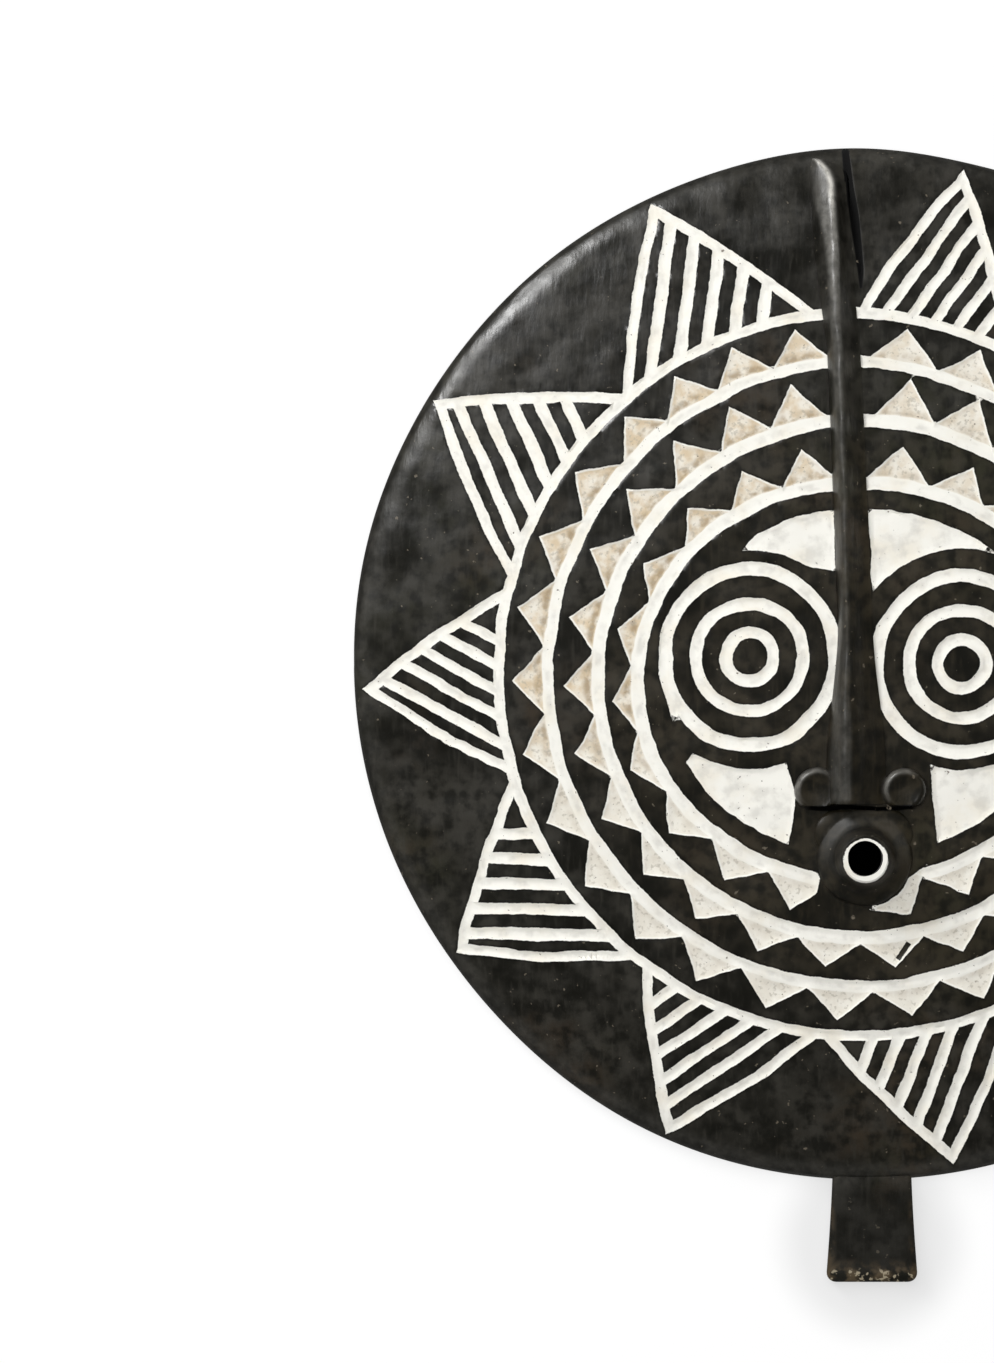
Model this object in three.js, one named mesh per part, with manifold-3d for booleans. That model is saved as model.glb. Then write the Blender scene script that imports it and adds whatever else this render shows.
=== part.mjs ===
// A round sun mask, carved from one board of dark wood.
// It lies on its back: x runs to the viewer's right, y to the top of the mask, z out of the face.
// All sizes are millimetres. Angles run from straight up towards the viewer's left, in degrees.
import * as THREE from "three";
import { mergeVertices } from "three/addons/utils/BufferGeometryUtils.js";
import Module from "manifold-3d";

const wasm = await Module();
wasm.setup();

// The board: a round disc, a little taller than wide, and the handle below it
const DISC_HALF_WIDTH = 248.5;
const DISC_HALF_HEIGHT = 251.5;
const HANDLE_REACH = 300.5; // from the disc's centre to the handle's end
const TOP_REACH = 252.5; // from the disc's centre to its hand-cut top
const DISC_CENTRE_Y = (HANDLE_REACH - TOP_REACH) / 2; // puts the origin under the middle
const RIM_THICKNESS = 13;
const DOME_RISE = 33; // how far the middle stands above the rim
const DOME_POWER = 2.2;
const EDGE_ROUND = 3.4;
const EDGE_FOOT_ROUND = 3;
const ROLL_FROM = 240; // the radius where the front starts to roll over to the rim
const ROLL_DROP = 1.7; // how far it falls up to the edge's round
const DISC_FACETS = 40;
const DOME_RINGS = [90, 147, 172, ROLL_FROM]; // radii where the dome's facets meet

// Where the hand-cut rim stands out from an even one: angle, spread in degrees, and how far
const UNEVEN_RIM = [
  [3, 12, 1.3],
  [38, 16, 1.1],
  [80, 22, 2],
  [132, 20, -1.3],
  [280, 22, 2],
  [347, 10, -1.3],
];

// The back: a shallow basin for the wearer's face, inside a flat border
const BASIN_RADIUS = 172;
const BASIN_DEPTH = 31;
const BASIN_FACETS = 36;

// Handle
const HANDLE_TOP_WIDTH = 38;
const HANDLE_END_WIDTH = 45;
const HANDLE_THICKNESS = 11;
const HANDLE_CORNER = 5;
const HANDLE_X = 3;
const HANDLE_OVERLAP = 14; // how far the handle runs up into the disc

// Carving: everything white is sunk this deep below the dome
const CARVING_DEPTH = 2.2;
const PATTERN_X = -2.9;
const PATTERN_Y = -3.2;
const LINE_WIDTH = 5.2;

// Rings round the face. A curve's radius is radius - drop cos(angle) - widen cos(2 angle), less
// the dip just right of the ridge, where the cut starts lower.
// Teeth point outwards, evenly spaced within each stretch: first angle, last angle, steps.
const RAY_RING = { radius: 173.6, drop: 0.9, widen: 0, dip: 3.5 };
const DIP_ANGLE = 338;
const DIP_SPREAD = 15;
const TOOTHED_RINGS = [
  {
    edge: { radius: 149.4, drop: 0.9, widen: 0, dip: 3 },
    band: 5.4,
    apex: { radius: 169.8, drop: 0, widen: 0, dip: 2.5 },
    stretches: [[10.8, 42.9, 3], [42.9, 200.6, 13], [200.6, 339.6, 12], [339.6, 352.1, 1]],
  },
  {
    edge: { radius: 123.6, drop: 3.3, widen: 1, dip: 0 },
    band: 6.3,
    apex: { radius: 144.7, drop: 0, widen: 0, dip: 0 },
    stretches: [[13.75, 38.75, 2], [38.75, 200.2, 12], [200.2, 336.5, 10], [336.5, 350.2, 1]],
  },
  {
    edge: { radius: 99.6, drop: 5.1, widen: 5.7, dip: 0 },
    band: 6.3,
    apex: { radius: 118.6, drop: 4.2, widen: 2.6, dip: 0 },
    stretches: [[15, 46.5, 2], [46.5, 163.4, 7], [205.6, 331.25, 8], [331.25, 349.2, 1]],
  },
];

// The last chip of the inner ring, cut along the mouth: mouth side, tip and outer corner
const LAST_CHIP = [[1, -118.8], [21.4, -121.6], [29.2, -96.5]];

// Rays: angle and radius of the sharp tip, the angles of the right and left corner on the ray ring,
// by the middle lines of the sunk edges, and how far the first stripe, and then each next, lies from
// the left edge
const RAYS = [
  [24, 250, 7.7, 40.2, 9.8, 12.6],
  [57.5, 247, 40.8, 74.4, 9.4, 12.3],
  [91.9, 242.6, 77.3, 105.6, 8.6, 10.7],
  [124.7, 239.9, 107.7, 141, 8.8, 12.2],
  [157.2, 244.4, 143.9, 172.8, 11.2, 11.2],
  [190.8, 244.2, 174.6, 205, 11.6, 11.6],
  [348.3, 250.3, 335, 359.8, 9.6, 10.8],
];
const PLAIN_RAYS = 4; // evenly spaced on the side that continues the pattern
const PLAIN_RAYS_FROM = 206.5;
const PLAIN_RAYS_TO = 333.5;
const PLAIN_RAY_TIP = 245.5;
const PLAIN_STRIPES = [10, 11.4];
const RAY_GAP = 1; // degrees from a plain ray's corner to the middle between two rays
const STRIPES = 5; // sunk stripes inside a ray, parallel to its left edge
const STRIPE_WIDTH = 5.5;
const RAY_EDGE_WIDTH = 5;
const RAY_BOW = 2.3; // how far a ray's side bends outwards
const TIP_INSET = 1.5; // from the sharp tip back to the point that the stripes are measured from

// Eyes: rings sunk round a raised pupil, inner and outer radius, the last one taller than wide
const EYES = [[-56.9, 4.1], [46.3, 0.7]];
const EYE_RINGS = [[8.8, 14.8], [23.2, 29.2], [38, 44.6]];
const EYE_TALLER = 1.04;
const EYE_FACETS = 22;

// Sunk panels of forehead and cheeks. Each runs along the face's border one way, back round an eye,
// and on to a corner beside the ridge or the nose.
const FACE_BORDER = 9.3;
const PANELS = [
  { face: [9.5, 37], eye: 0, radius: 51.8, arc: [4, -31], corner: [-15, 46] },
  { face: [-2.5, -45], eye: 1, radius: 56, arc: [-18, 51], corner: null },
  { face: [157.5, 117], eye: 0, radius: 54.5, arc: [149, 199], corner: [-34.6, -64] },
  { face: [204, 246], eye: 1, radius: 51.5, arc: [211, 162], corner: [32.4, -64] },
];
const ARC_STEP = 15; // degrees between the points of an arc round an eye

// The ridge from the rim down to the nose. Its crest lies left of the middle: the left flank bulges,
// the right one falls steeply and is hollow at its foot.
const RIDGE_TOP_Y = 247;
const RIDGE_END_Y = -67.4;
const RIDGE_END_X = -4.9;
const RIDGE_SWAY = 13.4; // how far its top leans to the side
const CREST_END_X = -8.2;
const CREST_SWAY = 8;
const RIDGE_WIDTH = 15.5;
const RIDGE_SPREAD = 2; // how much wider it grows on its way down to the nose
const TOP_FLARE = 2.6; // how much further left its foot lies near the top
const TOP_FLARE_ENDS = [0.1, 0.32]; // shares of the ridge's length
const NOSE_WIDTH = 29;
const RIDGE_HEIGHT = 10;
const NOSE_HEIGHT = 16;
const NOSE_STARTS = 0.72;
const NOSE_IS_FULL = 0.95;
const TOP_END = 0.07;
const TOP_END_HEIGHT = 0.45; // as a share of the ridge's height
const RIDGE_ROOT = 5; // how deep it is buried in the board
const RIDGE_STEPS = 12;
const FLANKS = [-1, -0.7, -0.35, 0, 0.3, 0.65, 1]; // places across, from the left foot over the crest
const LEFT_BULGE = 2.1; // powers by which the flanks fall from the crest
const RIGHT_HOLLOW = 1.5;
const NOSE_HOLLOW = 1.05;

// Nostrils and upper lip, with a straight crease between them
const NOSTRILS = [[-23.9, -60.8, 11.4], [18.4, -60.6, 10.8]]; // centre and radius
const NOSTRIL_HEIGHT = 6;
const NOSTRIL_RIM = 0.75; // the share of its radius where the rim of its dish stands
const NOSTRIL_DISH = 0.3; // how far the dish sinks, as a share of the height
const DISH_PLACES = [0.5, 0]; // shares of the dish's radius where its facets meet
const OUTER_ROUND = 0.8; // the height, as a share, halfway from the foot to the rim
const NOSE_FOOT_Y = -68.4;
const LIP_TOP_Y = -70.3;
const LIP = [-1.5, -82];
const LIP_HALF_WIDTH = 24;
const LIP_HALF_HEIGHT = 16;
const LIP_HEIGHT = 2.8;
const LIP_LEVELS = [[1, 0], [0.93, 0.6], [0.75, 0.9], [0, 1]]; // shares of its radius and height
const FORM_FACETS = 16;
const FORM_ROOT = 4; // how deep the small forms are buried in the board

// The mouth: a blunt cone with a hole right through it
const MOUTH_X = -1;
const MOUTH_Y = -93.8;
const MOUTH_HOLE_RADIUS = 8.6;
const MOUTH_PROFILE = [[23.5, -6], [23.3, 0.2], [20.2, 3.6], [14.9, 8.4], [12.5, 24], [11.7, 29], [10.8, 30.5]];
const MOUTH_FACETS = 26;
const HOLE_FACETS = 24;
const MOUTH_BORDER = 23.7;
const RING_GAP = { angles: [168.7, 197], radii: [85, 135] }; // where the inner ring is left out

const CUT_TOP = 90; // every cutting prism ends above the work
const CUT_FLOOR = 4;
const BASIN_SHARES = [0, 0.3, 0.5, 0.68, 0.82, 0.92, 1]; // shares of its radius where facets meet
const BELOW = -5; // every cut from the back starts here
const RING_STEP = 10; // degrees between the points of a smooth ring

const radians = (degrees) => (degrees * Math.PI) / 180;

// Turns a closed geometry into a solid that can be joined and cut.
function solid(geometry) {
  geometry.deleteAttribute("normal");
  geometry.deleteAttribute("uv");
  const merged = mergeVertices(geometry, 1e-4);
  return new wasm.Manifold(
    new wasm.Mesh({
      numProp: 3,
      vertProperties: merged.attributes.position.array,
      triVerts: new Uint32Array(merged.index.array),
    }),
  );
}

// An upright prism over a flat outline, from floor to top.
function prism(points, holes = [], floor = CUT_FLOOR, top = CUT_TOP) {
  const shape = new THREE.Shape(points);
  shape.holes = holes.map((hole) => new THREE.Path(hole));
  const geometry = new THREE.ExtrudeGeometry(shape, { depth: top - floor, bevelEnabled: false });
  return solid(geometry.translate(0, 0, floor));
}

// A turned body whose profile, radius and height, starts and ends on the axis.
function turnedGeometry(profile, facets) {
  const points = profile.map(([radius, height]) => new THREE.Vector2(radius, height));
  return new THREE.LatheGeometry(points, facets).rotateX(Math.PI / 2);
}

function turned(profile, facets) {
  return solid(turnedGeometry(profile, facets));
}

// The point at an angle and radius from a centre.
function polar(angle, radius, x = PATTERN_X, y = PATTERN_Y) {
  return new THREE.Vector2(x - radius * Math.sin(radians(angle)), y + radius * Math.cos(radians(angle)));
}

// The radius of a ring's hand-cut curve at an angle.
function curveRadius({ radius, drop, widen, dip }, angle) {
  const a = radians(angle);
  const fromDip = (THREE.MathUtils.euclideanModulo(angle, 360) - DIP_ANGLE) / DIP_SPREAD;
  return radius - drop * Math.cos(a) - widen * Math.cos(2 * a) - dip * Math.exp(-(fromDip ** 2));
}

// Points along a curve from one angle to another, at about RING_STEP degrees.
function curvePoints(from, to, radiusAt) {
  const steps = Math.max(1, Math.round(Math.abs(to - from) / RING_STEP));
  return Array.from({ length: steps + 1 }, (_, i) => {
    const angle = from + ((to - from) * i) / steps;
    return polar(angle, radiusAt(angle));
  });
}

// A whole curve as a closed outline.
function closedCurve(radiusAt) {
  return curvePoints(0, 360 - RING_STEP, radiusAt);
}

// Points of an arc round an eye's centre.
function eyeArc([x, y], radius, from, to) {
  const steps = Math.ceil(Math.abs(to - from) / ARC_STEP);
  return Array.from({ length: steps + 1 }, (_, i) => polar(from + ((to - from) * i) / steps, radius, x, y));
}

// The dome's height above the flat back, at a distance from the disc's centre.
function domeHeight(distance) {
  const roll = Math.max(distance - ROLL_FROM, 0) / (DISC_HALF_HEIGHT - EDGE_ROUND - ROLL_FROM);
  const rise = DOME_RISE * (1 - (distance / DISC_HALF_HEIGHT) ** DOME_POWER);
  return RIM_THICKNESS + rise - ROLL_DROP * roll ** 2;
}

function heightAt(x, y) {
  return domeHeight(Math.hypot((x * DISC_HALF_HEIGHT) / DISC_HALF_WIDTH, y));
}

// The hand-cut disc's radius in a direction, as a share of the even disc's: 1 plus a few rounded bumps.
function uneven(x, y) {
  const angle = THREE.MathUtils.radToDeg(Math.atan2(-x, y));
  return UNEVEN_RIM.reduce((total, [place, spread, size]) => {
    const off = THREE.MathUtils.euclideanModulo(angle - place + 180, 360) - 180;
    return total + (size / DISC_HALF_HEIGHT) * Math.exp(-((off / spread) ** 2));
  }, 1);
}

// The domed disc with its rounded edge, lowered by some depth for the carving's floor.
function domedDisc(lowered) {
  const rounded = DISC_HALF_HEIGHT - EDGE_ROUND;
  const profile = [
    ...[0, ...DOME_RINGS, rounded].map((radius) => [radius, domeHeight(radius)]),
    [DISC_HALF_HEIGHT, domeHeight(rounded) - EDGE_ROUND],
    [DISC_HALF_HEIGHT, EDGE_FOOT_ROUND],
    [DISC_HALF_HEIGHT - EDGE_FOOT_ROUND, 0],
    [0, 0],
  ].map(([radius, height]) => [radius, height - lowered]);
  const geometry = turnedGeometry(profile.reverse(), DISC_FACETS);
  const place = geometry.attributes.position;
  for (let i = 0; i < place.count; i += 1) {
    const [x, y] = [(place.getX(i) * DISC_HALF_WIDTH) / DISC_HALF_HEIGHT, place.getY(i)];
    place.setXY(i, x * uneven(x, y), y * uneven(x, y));
  }
  return solid(geometry);
}

// The handle: a flat tongue that widens to its end, with rounded end corners.
function handle() {
  const top = -DISC_HALF_HEIGHT + HANDLE_OVERLAP;
  const end = -HANDLE_REACH;
  const half = HANDLE_END_WIDTH / 2;
  const shape = new THREE.Shape()
    .moveTo(HANDLE_X - HANDLE_TOP_WIDTH / 2, top)
    .lineTo(HANDLE_X - half, end + HANDLE_CORNER)
    .quadraticCurveTo(HANDLE_X - half, end, HANDLE_X - half + HANDLE_CORNER, end)
    .lineTo(HANDLE_X + half - HANDLE_CORNER, end)
    .quadraticCurveTo(HANDLE_X + half, end, HANDLE_X + half, end + HANDLE_CORNER)
    .lineTo(HANDLE_X + HANDLE_TOP_WIDTH / 2, top);
  const geometry = new THREE.ExtrudeGeometry(shape, {
    depth: HANDLE_THICKNESS,
    bevelEnabled: false,
    curveSegments: 4,
  });
  return solid(geometry);
}

// The apex angles of a toothed ring, stretch by stretch.
function toothAngles(stretches) {
  const angles = stretches.flatMap(([from, to, steps]) =>
    Array.from({ length: steps + 1 }, (_, i) => from + ((to - from) * i) / steps),
  );
  return [...new Set(angles)].sort((a, b) => a - b);
}

// One tooth of a ring, from its root inside the band to its tip.
function tooth(ring, angle, halfAngle) {
  const base = (a) => polar(a, curveRadius(ring.edge, a) + ring.band);
  const root = (a) => polar(a, curveRadius(ring.edge, a) + ring.band / 2);
  const tip = polar(angle, curveRadius(ring.apex, angle));
  const [low, high] = [angle - halfAngle, angle + halfAngle];
  return prism([root(low), root(high), base(high), tip, base(low)].reverse());
}

// A ring's band and its teeth; the inner ring stays open on both sides of the mouth.
function toothedRing(ring) {
  const angles = toothAngles(ring.stretches);
  const inner = closedCurve((a) => curveRadius(ring.edge, a));
  const outer = closedCurve((a) => curveRadius(ring.edge, a) + ring.band);
  let carved = prism(outer, [inner]);
  angles.forEach((angle, i) => {
    const next = (angles[(i + 1) % angles.length] - angle + 360) % 360;
    const before = (angle - angles.at(i - 1) + 360) % 360;
    carved = carved.add(tooth(ring, angle, Math.min(next, before) / 2));
  });
  return carved;
}

// What is left standing of the inner ring around the mouth.
function mouthBorder() {
  const circle = eyeArc([MOUTH_X, MOUTH_Y], MOUTH_BORDER, 0, 360 - ARC_STEP);
  const [left, right] = RING_GAP.angles;
  const [near, far] = RING_GAP.radii;
  return [prism(circle), prism([polar(left, near), polar(left, far), polar(right, far), polar(right, near)])];
}

// One sunk stroke of even width along a line of points.
function stroke(points, width) {
  const side = (share) =>
    points.map((point, i) => {
      const [before, after] = [points[Math.max(i - 1, 0)], points[Math.min(i + 1, points.length - 1)]];
      const along = after.clone().sub(before).normalize();
      return new THREE.Vector2(point.x - along.y * share, point.y + along.x * share);
    });
  return prism([...side(-width / 2), ...side(width / 2).reverse()]);
}

// How far from a point, in a direction, the circle round the pattern's centre lies.
function distanceToCircle(point, direction, radius) {
  const offset = point.clone().sub(new THREE.Vector2(PATTERN_X, PATTERN_Y));
  const along = offset.dot(direction);
  return -along - Math.sqrt(along ** 2 - offset.lengthSq() + radius ** 2);
}

// A point moved sideways off the line from start to end, to the left if the way is above zero.
function beside(point, start, end, way) {
  const along = end.clone().sub(start).normalize();
  return new THREE.Vector2(point.x - along.y * way, point.y + along.x * way);
}

// One ray: two bowed edges that meet in a sharp tip, and stripes parallel to the left one.
function ray(tipAngle, tipRadius, fromAngle, toAngle, firstStripe, stripePitch) {
  const tip = polar(tipAngle, tipRadius);
  const ringMiddle = (a) => curveRadius(RAY_RING, a) + LINE_WIDTH / 2;
  const right = polar(fromAngle, ringMiddle(fromAngle));
  const left = polar(toAngle, ringMiddle(toAngle));
  const side = (corner, outwards) => {
    const middle = corner.clone().lerp(tip, 0.5);
    const half = RAY_EDGE_WIDTH / 2;
    const outerCorner = beside(corner, corner, tip, outwards * half);
    const innerTip = beside(tip, corner, tip, -outwards * half);
    return {
      outline: [outerCorner, beside(outerCorner.clone().lerp(tip, 0.5), corner, tip, outwards * RAY_BOW)],
      edge: stroke([corner, beside(middle, corner, innerTip, outwards * RAY_BOW), innerTip], RAY_EDGE_WIDTH),
    };
  };
  const [leftSide, rightSide] = [side(left, 1), side(right, -1)];
  const outline = prism([...leftSide.outline, tip, ...rightSide.outline.reverse()].reverse());
  const nearTip = polar(tipAngle, tipRadius - TIP_INSET);
  const along = left.clone().sub(nearTip).normalize();
  const across = right.clone().sub(nearTip);
  const span = Math.abs(along.cross(across));
  const stripes = Array.from({ length: STRIPES }, (_, i) => {
    const start = nearTip.clone().addScaledVector(across, (firstStripe + i * stripePitch) / span);
    const reach = distanceToCircle(start, along, RAY_RING.radius + LINE_WIDTH / 2);
    return stroke([start, start.clone().addScaledVector(along, reach)], STRIPE_WIDTH);
  });
  const cuts = [leftSide.edge, rightSide.edge, ...stripes].reduce((all, cut) => all.add(cut));
  return cuts.intersect(outline);
}

// The plain ring that the rays stand on, with all the rays.
function rays() {
  const inner = closedCurve((a) => curveRadius(RAY_RING, a));
  const outer = closedCurve((a) => curveRadius(RAY_RING, a) + LINE_WIDTH);
  const pitch = (PLAIN_RAYS_TO - PLAIN_RAYS_FROM) / PLAIN_RAYS;
  const plain = Array.from({ length: PLAIN_RAYS }, (_, i) => {
    const from = PLAIN_RAYS_FROM + i * pitch;
    return [from + pitch / 2, PLAIN_RAY_TIP, from + RAY_GAP, from + pitch - RAY_GAP, ...PLAIN_STRIPES];
  });
  return [...RAYS, ...plain].reduce((all, row) => all.add(ray(...row)), prism(outer, [inner]));
}

// The sunk rings round one eye.
function eye([x, y]) {
  const ellipse = (radius, taller) =>
    Array.from({ length: EYE_FACETS }, (_, i) => {
      const a = (2 * Math.PI * i) / EYE_FACETS;
      return new THREE.Vector2(x + radius * Math.cos(a), y + radius * taller * Math.sin(a));
    });
  return EYE_RINGS.map(([inner, outer], i) => {
    const taller = i === EYE_RINGS.length - 1 ? EYE_TALLER : 1;
    return prism(ellipse(outer, taller), [ellipse(inner, taller)]);
  });
}

// The sunk panels of forehead and cheeks.
function panels() {
  const faceRadius = (a) => curveRadius(TOOTHED_RINGS[2].edge, a) - FACE_BORDER;
  return PANELS.map(({ face, eye: number, radius, arc, corner }) => {
    const outline = [...curvePoints(...face, faceRadius), ...eyeArc(EYES[number], radius, ...arc)];
    if (corner) outline.push(new THREE.Vector2(...corner));
    return prism(THREE.ShapeUtils.area(outline) < 0 ? outline.reverse() : outline);
  });
}

// All the carving as one set of sunk areas.
function carving() {
  const [outerRing, middleRing, innerRing] = TOOTHED_RINGS.map(toothedRing);
  const border = mouthBorder();
  const openRing = border.reduce((ring, cut) => ring.subtract(cut), innerRing);
  const chip = prism(LAST_CHIP.map(([x, y]) => new THREE.Vector2(x, y))).subtract(border[0]);
  const parts = [outerRing, middleRing, openRing, chip, rays(), ...EYES.flatMap(eye), ...panels()];
  return parts.reduce((all, part) => all.add(part));
}

// A smooth rise from 0 to 1 as value goes from low to high.
function rise(value, low, high) {
  return THREE.MathUtils.smoothstep(value, low, high);
}

// The ridge: a straight bar whose section runs from its left foot over the crest to its right foot,
// reshaped so that it follows the dome, sways to one side and widens to the nose.
function ridge() {
  const roof = FLANKS.map((side) => new THREE.Vector2(side, 1 - Math.abs(side)));
  const section = new THREE.Shape([new THREE.Vector2(-1, -1), new THREE.Vector2(1, -1), ...roof.reverse()]);
  const geometry = new THREE.ExtrudeGeometry(section, { depth: 1, steps: RIDGE_STEPS, bevelEnabled: false });
  const place = geometry.attributes.position;
  for (let i = 0; i < place.count; i += 1) {
    const [side, up, down] = [place.getX(i), place.getY(i), place.getZ(i)];
    const y = RIDGE_TOP_Y + (RIDGE_END_Y - RIDGE_TOP_Y) * down;
    const toNose = rise(down, NOSE_STARTS, NOSE_IS_FULL);
    const barWidth = RIDGE_WIDTH + RIDGE_SPREAD * down;
    const halfWidth = THREE.MathUtils.lerp(barWidth, NOSE_WIDTH + RIDGE_SPREAD * (down - 1), toNose) / 2;
    const topEnd = THREE.MathUtils.lerp(TOP_END_HEIGHT, 1, rise(down, 0, TOP_END));
    const height = THREE.MathUtils.lerp(RIDGE_HEIGHT, NOSE_HEIGHT, toNose) * topEnd;
    const middle = RIDGE_END_X - RIDGE_SWAY * (1 - down) ** 2;
    const crest = CREST_END_X - CREST_SWAY * (1 - down) ** 2;
    const left = middle - halfWidth - TOP_FLARE * (1 - rise(down, ...TOP_FLARE_ENDS));
    const foot = side < 0 ? left : middle + halfWidth;
    const hollow = THREE.MathUtils.lerp(RIGHT_HOLLOW, NOSE_HOLLOW, toNose);
    const level = side < 0 ? 1 - Math.abs(side) ** LEFT_BULGE : (1 - side) ** hollow;
    const x = THREE.MathUtils.lerp(crest, foot, Math.abs(side));
    place.setXYZ(i, x, y, heightAt(middle, y) + (up < 0 ? -RIDGE_ROOT : level * height));
  }
  return solid(geometry);
}

// A low form that stands on the board, from shares of its half width and levels above the board.
function onBoard(profile, [x, y], halfWidth, halfHeight, lowest = -Infinity, highest = Infinity) {
  const geometry = turnedGeometry([[0, -FORM_ROOT], [1, -FORM_ROOT], ...profile], FORM_FACETS);
  const place = geometry.attributes.position;
  for (let i = 0; i < place.count; i += 1) {
    const px = x + place.getX(i) * halfWidth;
    const py = y + place.getY(i) * halfHeight;
    place.setXYZ(i, px, THREE.MathUtils.clamp(py, lowest, highest), place.getZ(i) + heightAt(px, py));
  }
  return solid(geometry);
}

// A nostril: a rounded rim with a shallow dish inside, cut off straight towards the lip.
function nostril([x, y, radius]) {
  const outer = [[1, 0], [(1 + NOSTRIL_RIM) / 2, OUTER_ROUND], [NOSTRIL_RIM, 1]];
  const dish = DISH_PLACES.map((part) => [part * NOSTRIL_RIM, 1 - NOSTRIL_DISH * (1 - part ** 2)]);
  const levels = [...outer, ...dish].map(([share, level]) => [share, level * NOSTRIL_HEIGHT]);
  return onBoard(levels, [x, y], radius, radius, NOSE_FOOT_Y);
}

// The lip: a low block with a rounded edge.
function lip() {
  const levels = LIP_LEVELS.map(([share, level]) => [share, level * LIP_HEIGHT]);
  return onBoard(levels, LIP, LIP_HALF_WIDTH, LIP_HALF_HEIGHT, -Infinity, LIP_TOP_Y);
}

// The mouth's cone, before the hole is cut. Each of its points lies above the dome's height there.
function mouth() {
  const profile = [[0, MOUTH_PROFILE[0][1]], ...MOUTH_PROFILE, [0, MOUTH_PROFILE.at(-1)[1]]];
  const geometry = turnedGeometry(profile, MOUTH_FACETS);
  const place = geometry.attributes.position;
  for (let i = 0; i < place.count; i += 1) {
    const [x, y] = [MOUTH_X + place.getX(i), MOUTH_Y + place.getY(i)];
    place.setXYZ(i, x, y, place.getZ(i) + heightAt(x, y));
  }
  return solid(geometry);
}

// The basin at the back, and the hole through the mouth.
function basin() {
  const hollow = BASIN_SHARES.map((s) => [BASIN_RADIUS * s, BASIN_DEPTH * (1 - s ** DOME_POWER)]);
  return turned([[0, BELOW], [BASIN_RADIUS, BELOW], ...hollow.reverse()], BASIN_FACETS);
}

function mouthHole() {
  const drill = new THREE.CylinderGeometry(MOUTH_HOLE_RADIUS, MOUTH_HOLE_RADIUS, CUT_TOP, HOLE_FACETS);
  return solid(drill.rotateX(Math.PI / 2).translate(MOUTH_X, MOUTH_Y, CUT_TOP / 2));
}

function maskSolid() {
  const sunk = carving().subtract(domedDisc(CARVING_DEPTH));
  let body = domedDisc(0).add(handle()).subtract(sunk);
  body = body.add(ridge());
  for (const place of NOSTRILS) {
    body = body.add(nostril(place));
  }
  body = body.add(lip()).add(mouth()).subtract(basin()).subtract(mouthHole());
  return body.translate([0, DISC_CENTRE_Y, 0]);
}

// A solid's mesh as a geometry.
function geometryOf(body) {
  const mesh = body.getMesh();
  const geometry = new THREE.BufferGeometry();
  geometry.setAttribute("position", new THREE.BufferAttribute(new Float32Array(mesh.vertProperties), 3));
  geometry.setIndex(new THREE.BufferAttribute(new Uint32Array(mesh.triVerts), 1));
  geometry.computeVertexNormals();
  return geometry;
}

const wood = new THREE.MeshStandardMaterial({ color: 0x2a2320, roughness: 0.5, metalness: 0 });
const mask = new THREE.Mesh(geometryOf(maskSolid()), wood);
mask.name = "mask";

const sunMask = new THREE.Group();
sunMask.add(mask);
export default sunMask;
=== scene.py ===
# %% [markdown]
# # A carved sun mask
#
# The object is a round face mask of the Bwa, cut from one board of dark wood. Its front is a low dome,
# covered with rays, toothed rings and ringed eyes that are sunk into the wood and filled with white.
# It lies on its back, and the camera looks straight down on it. First the imported frame is loaded.

import bpy
import numpy as np
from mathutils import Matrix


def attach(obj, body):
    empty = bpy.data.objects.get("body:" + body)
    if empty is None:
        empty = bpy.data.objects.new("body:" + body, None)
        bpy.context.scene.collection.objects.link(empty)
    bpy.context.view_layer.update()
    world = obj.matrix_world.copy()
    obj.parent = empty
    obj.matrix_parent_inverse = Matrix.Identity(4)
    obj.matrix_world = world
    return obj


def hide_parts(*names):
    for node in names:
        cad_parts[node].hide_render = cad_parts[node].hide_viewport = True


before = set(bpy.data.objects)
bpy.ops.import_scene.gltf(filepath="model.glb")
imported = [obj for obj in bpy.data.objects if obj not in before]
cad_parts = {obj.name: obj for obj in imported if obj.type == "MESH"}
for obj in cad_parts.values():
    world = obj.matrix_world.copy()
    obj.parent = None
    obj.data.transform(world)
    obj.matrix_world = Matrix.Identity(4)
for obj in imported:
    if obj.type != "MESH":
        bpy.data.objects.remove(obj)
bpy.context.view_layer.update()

# %% [markdown]
# ## Camera
#
# The picture was taken from straight above, from far enough away that nothing leans. A long lens far
# up gives the same view. The mask stands right of the middle and runs out of the frame on that side,
# so the camera stands to the left of the mask's own middle.

# %% The camera
PHOTO_LONG_SIDE = 0.6642  # metres that the tall side of the picture covers at the height of the rim
RIM_LEVEL = 0.014
LENS = 800.0  # millimetres
FILM = 36.0
VIEW_CENTRE = (-0.1798, 0.0162)

camera_data = bpy.data.cameras.new("overhead_camera")
camera_data.lens = LENS
camera_data.sensor_width = FILM
camera_data.clip_end = 50.0
camera = bpy.data.objects.new("overhead_camera", camera_data)
camera.location = (*VIEW_CENTRE, LENS / FILM * PHOTO_LONG_SIDE + RIM_LEVEL)
bpy.context.scene.collection.objects.link(camera)
bpy.context.scene.camera = camera
print("camera height, metres:", round(camera.location.z, 2))

# %% [markdown]
# ## Measures of the board
#
# All shapes are worked out in millimetres from the disc's middle: x to the viewer's right, y to the
# top of the mask and z out of the face. Angles run from straight up towards the viewer's left. The
# numbers are those of the solid model, so the fine carving falls on the coarse one.

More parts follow.
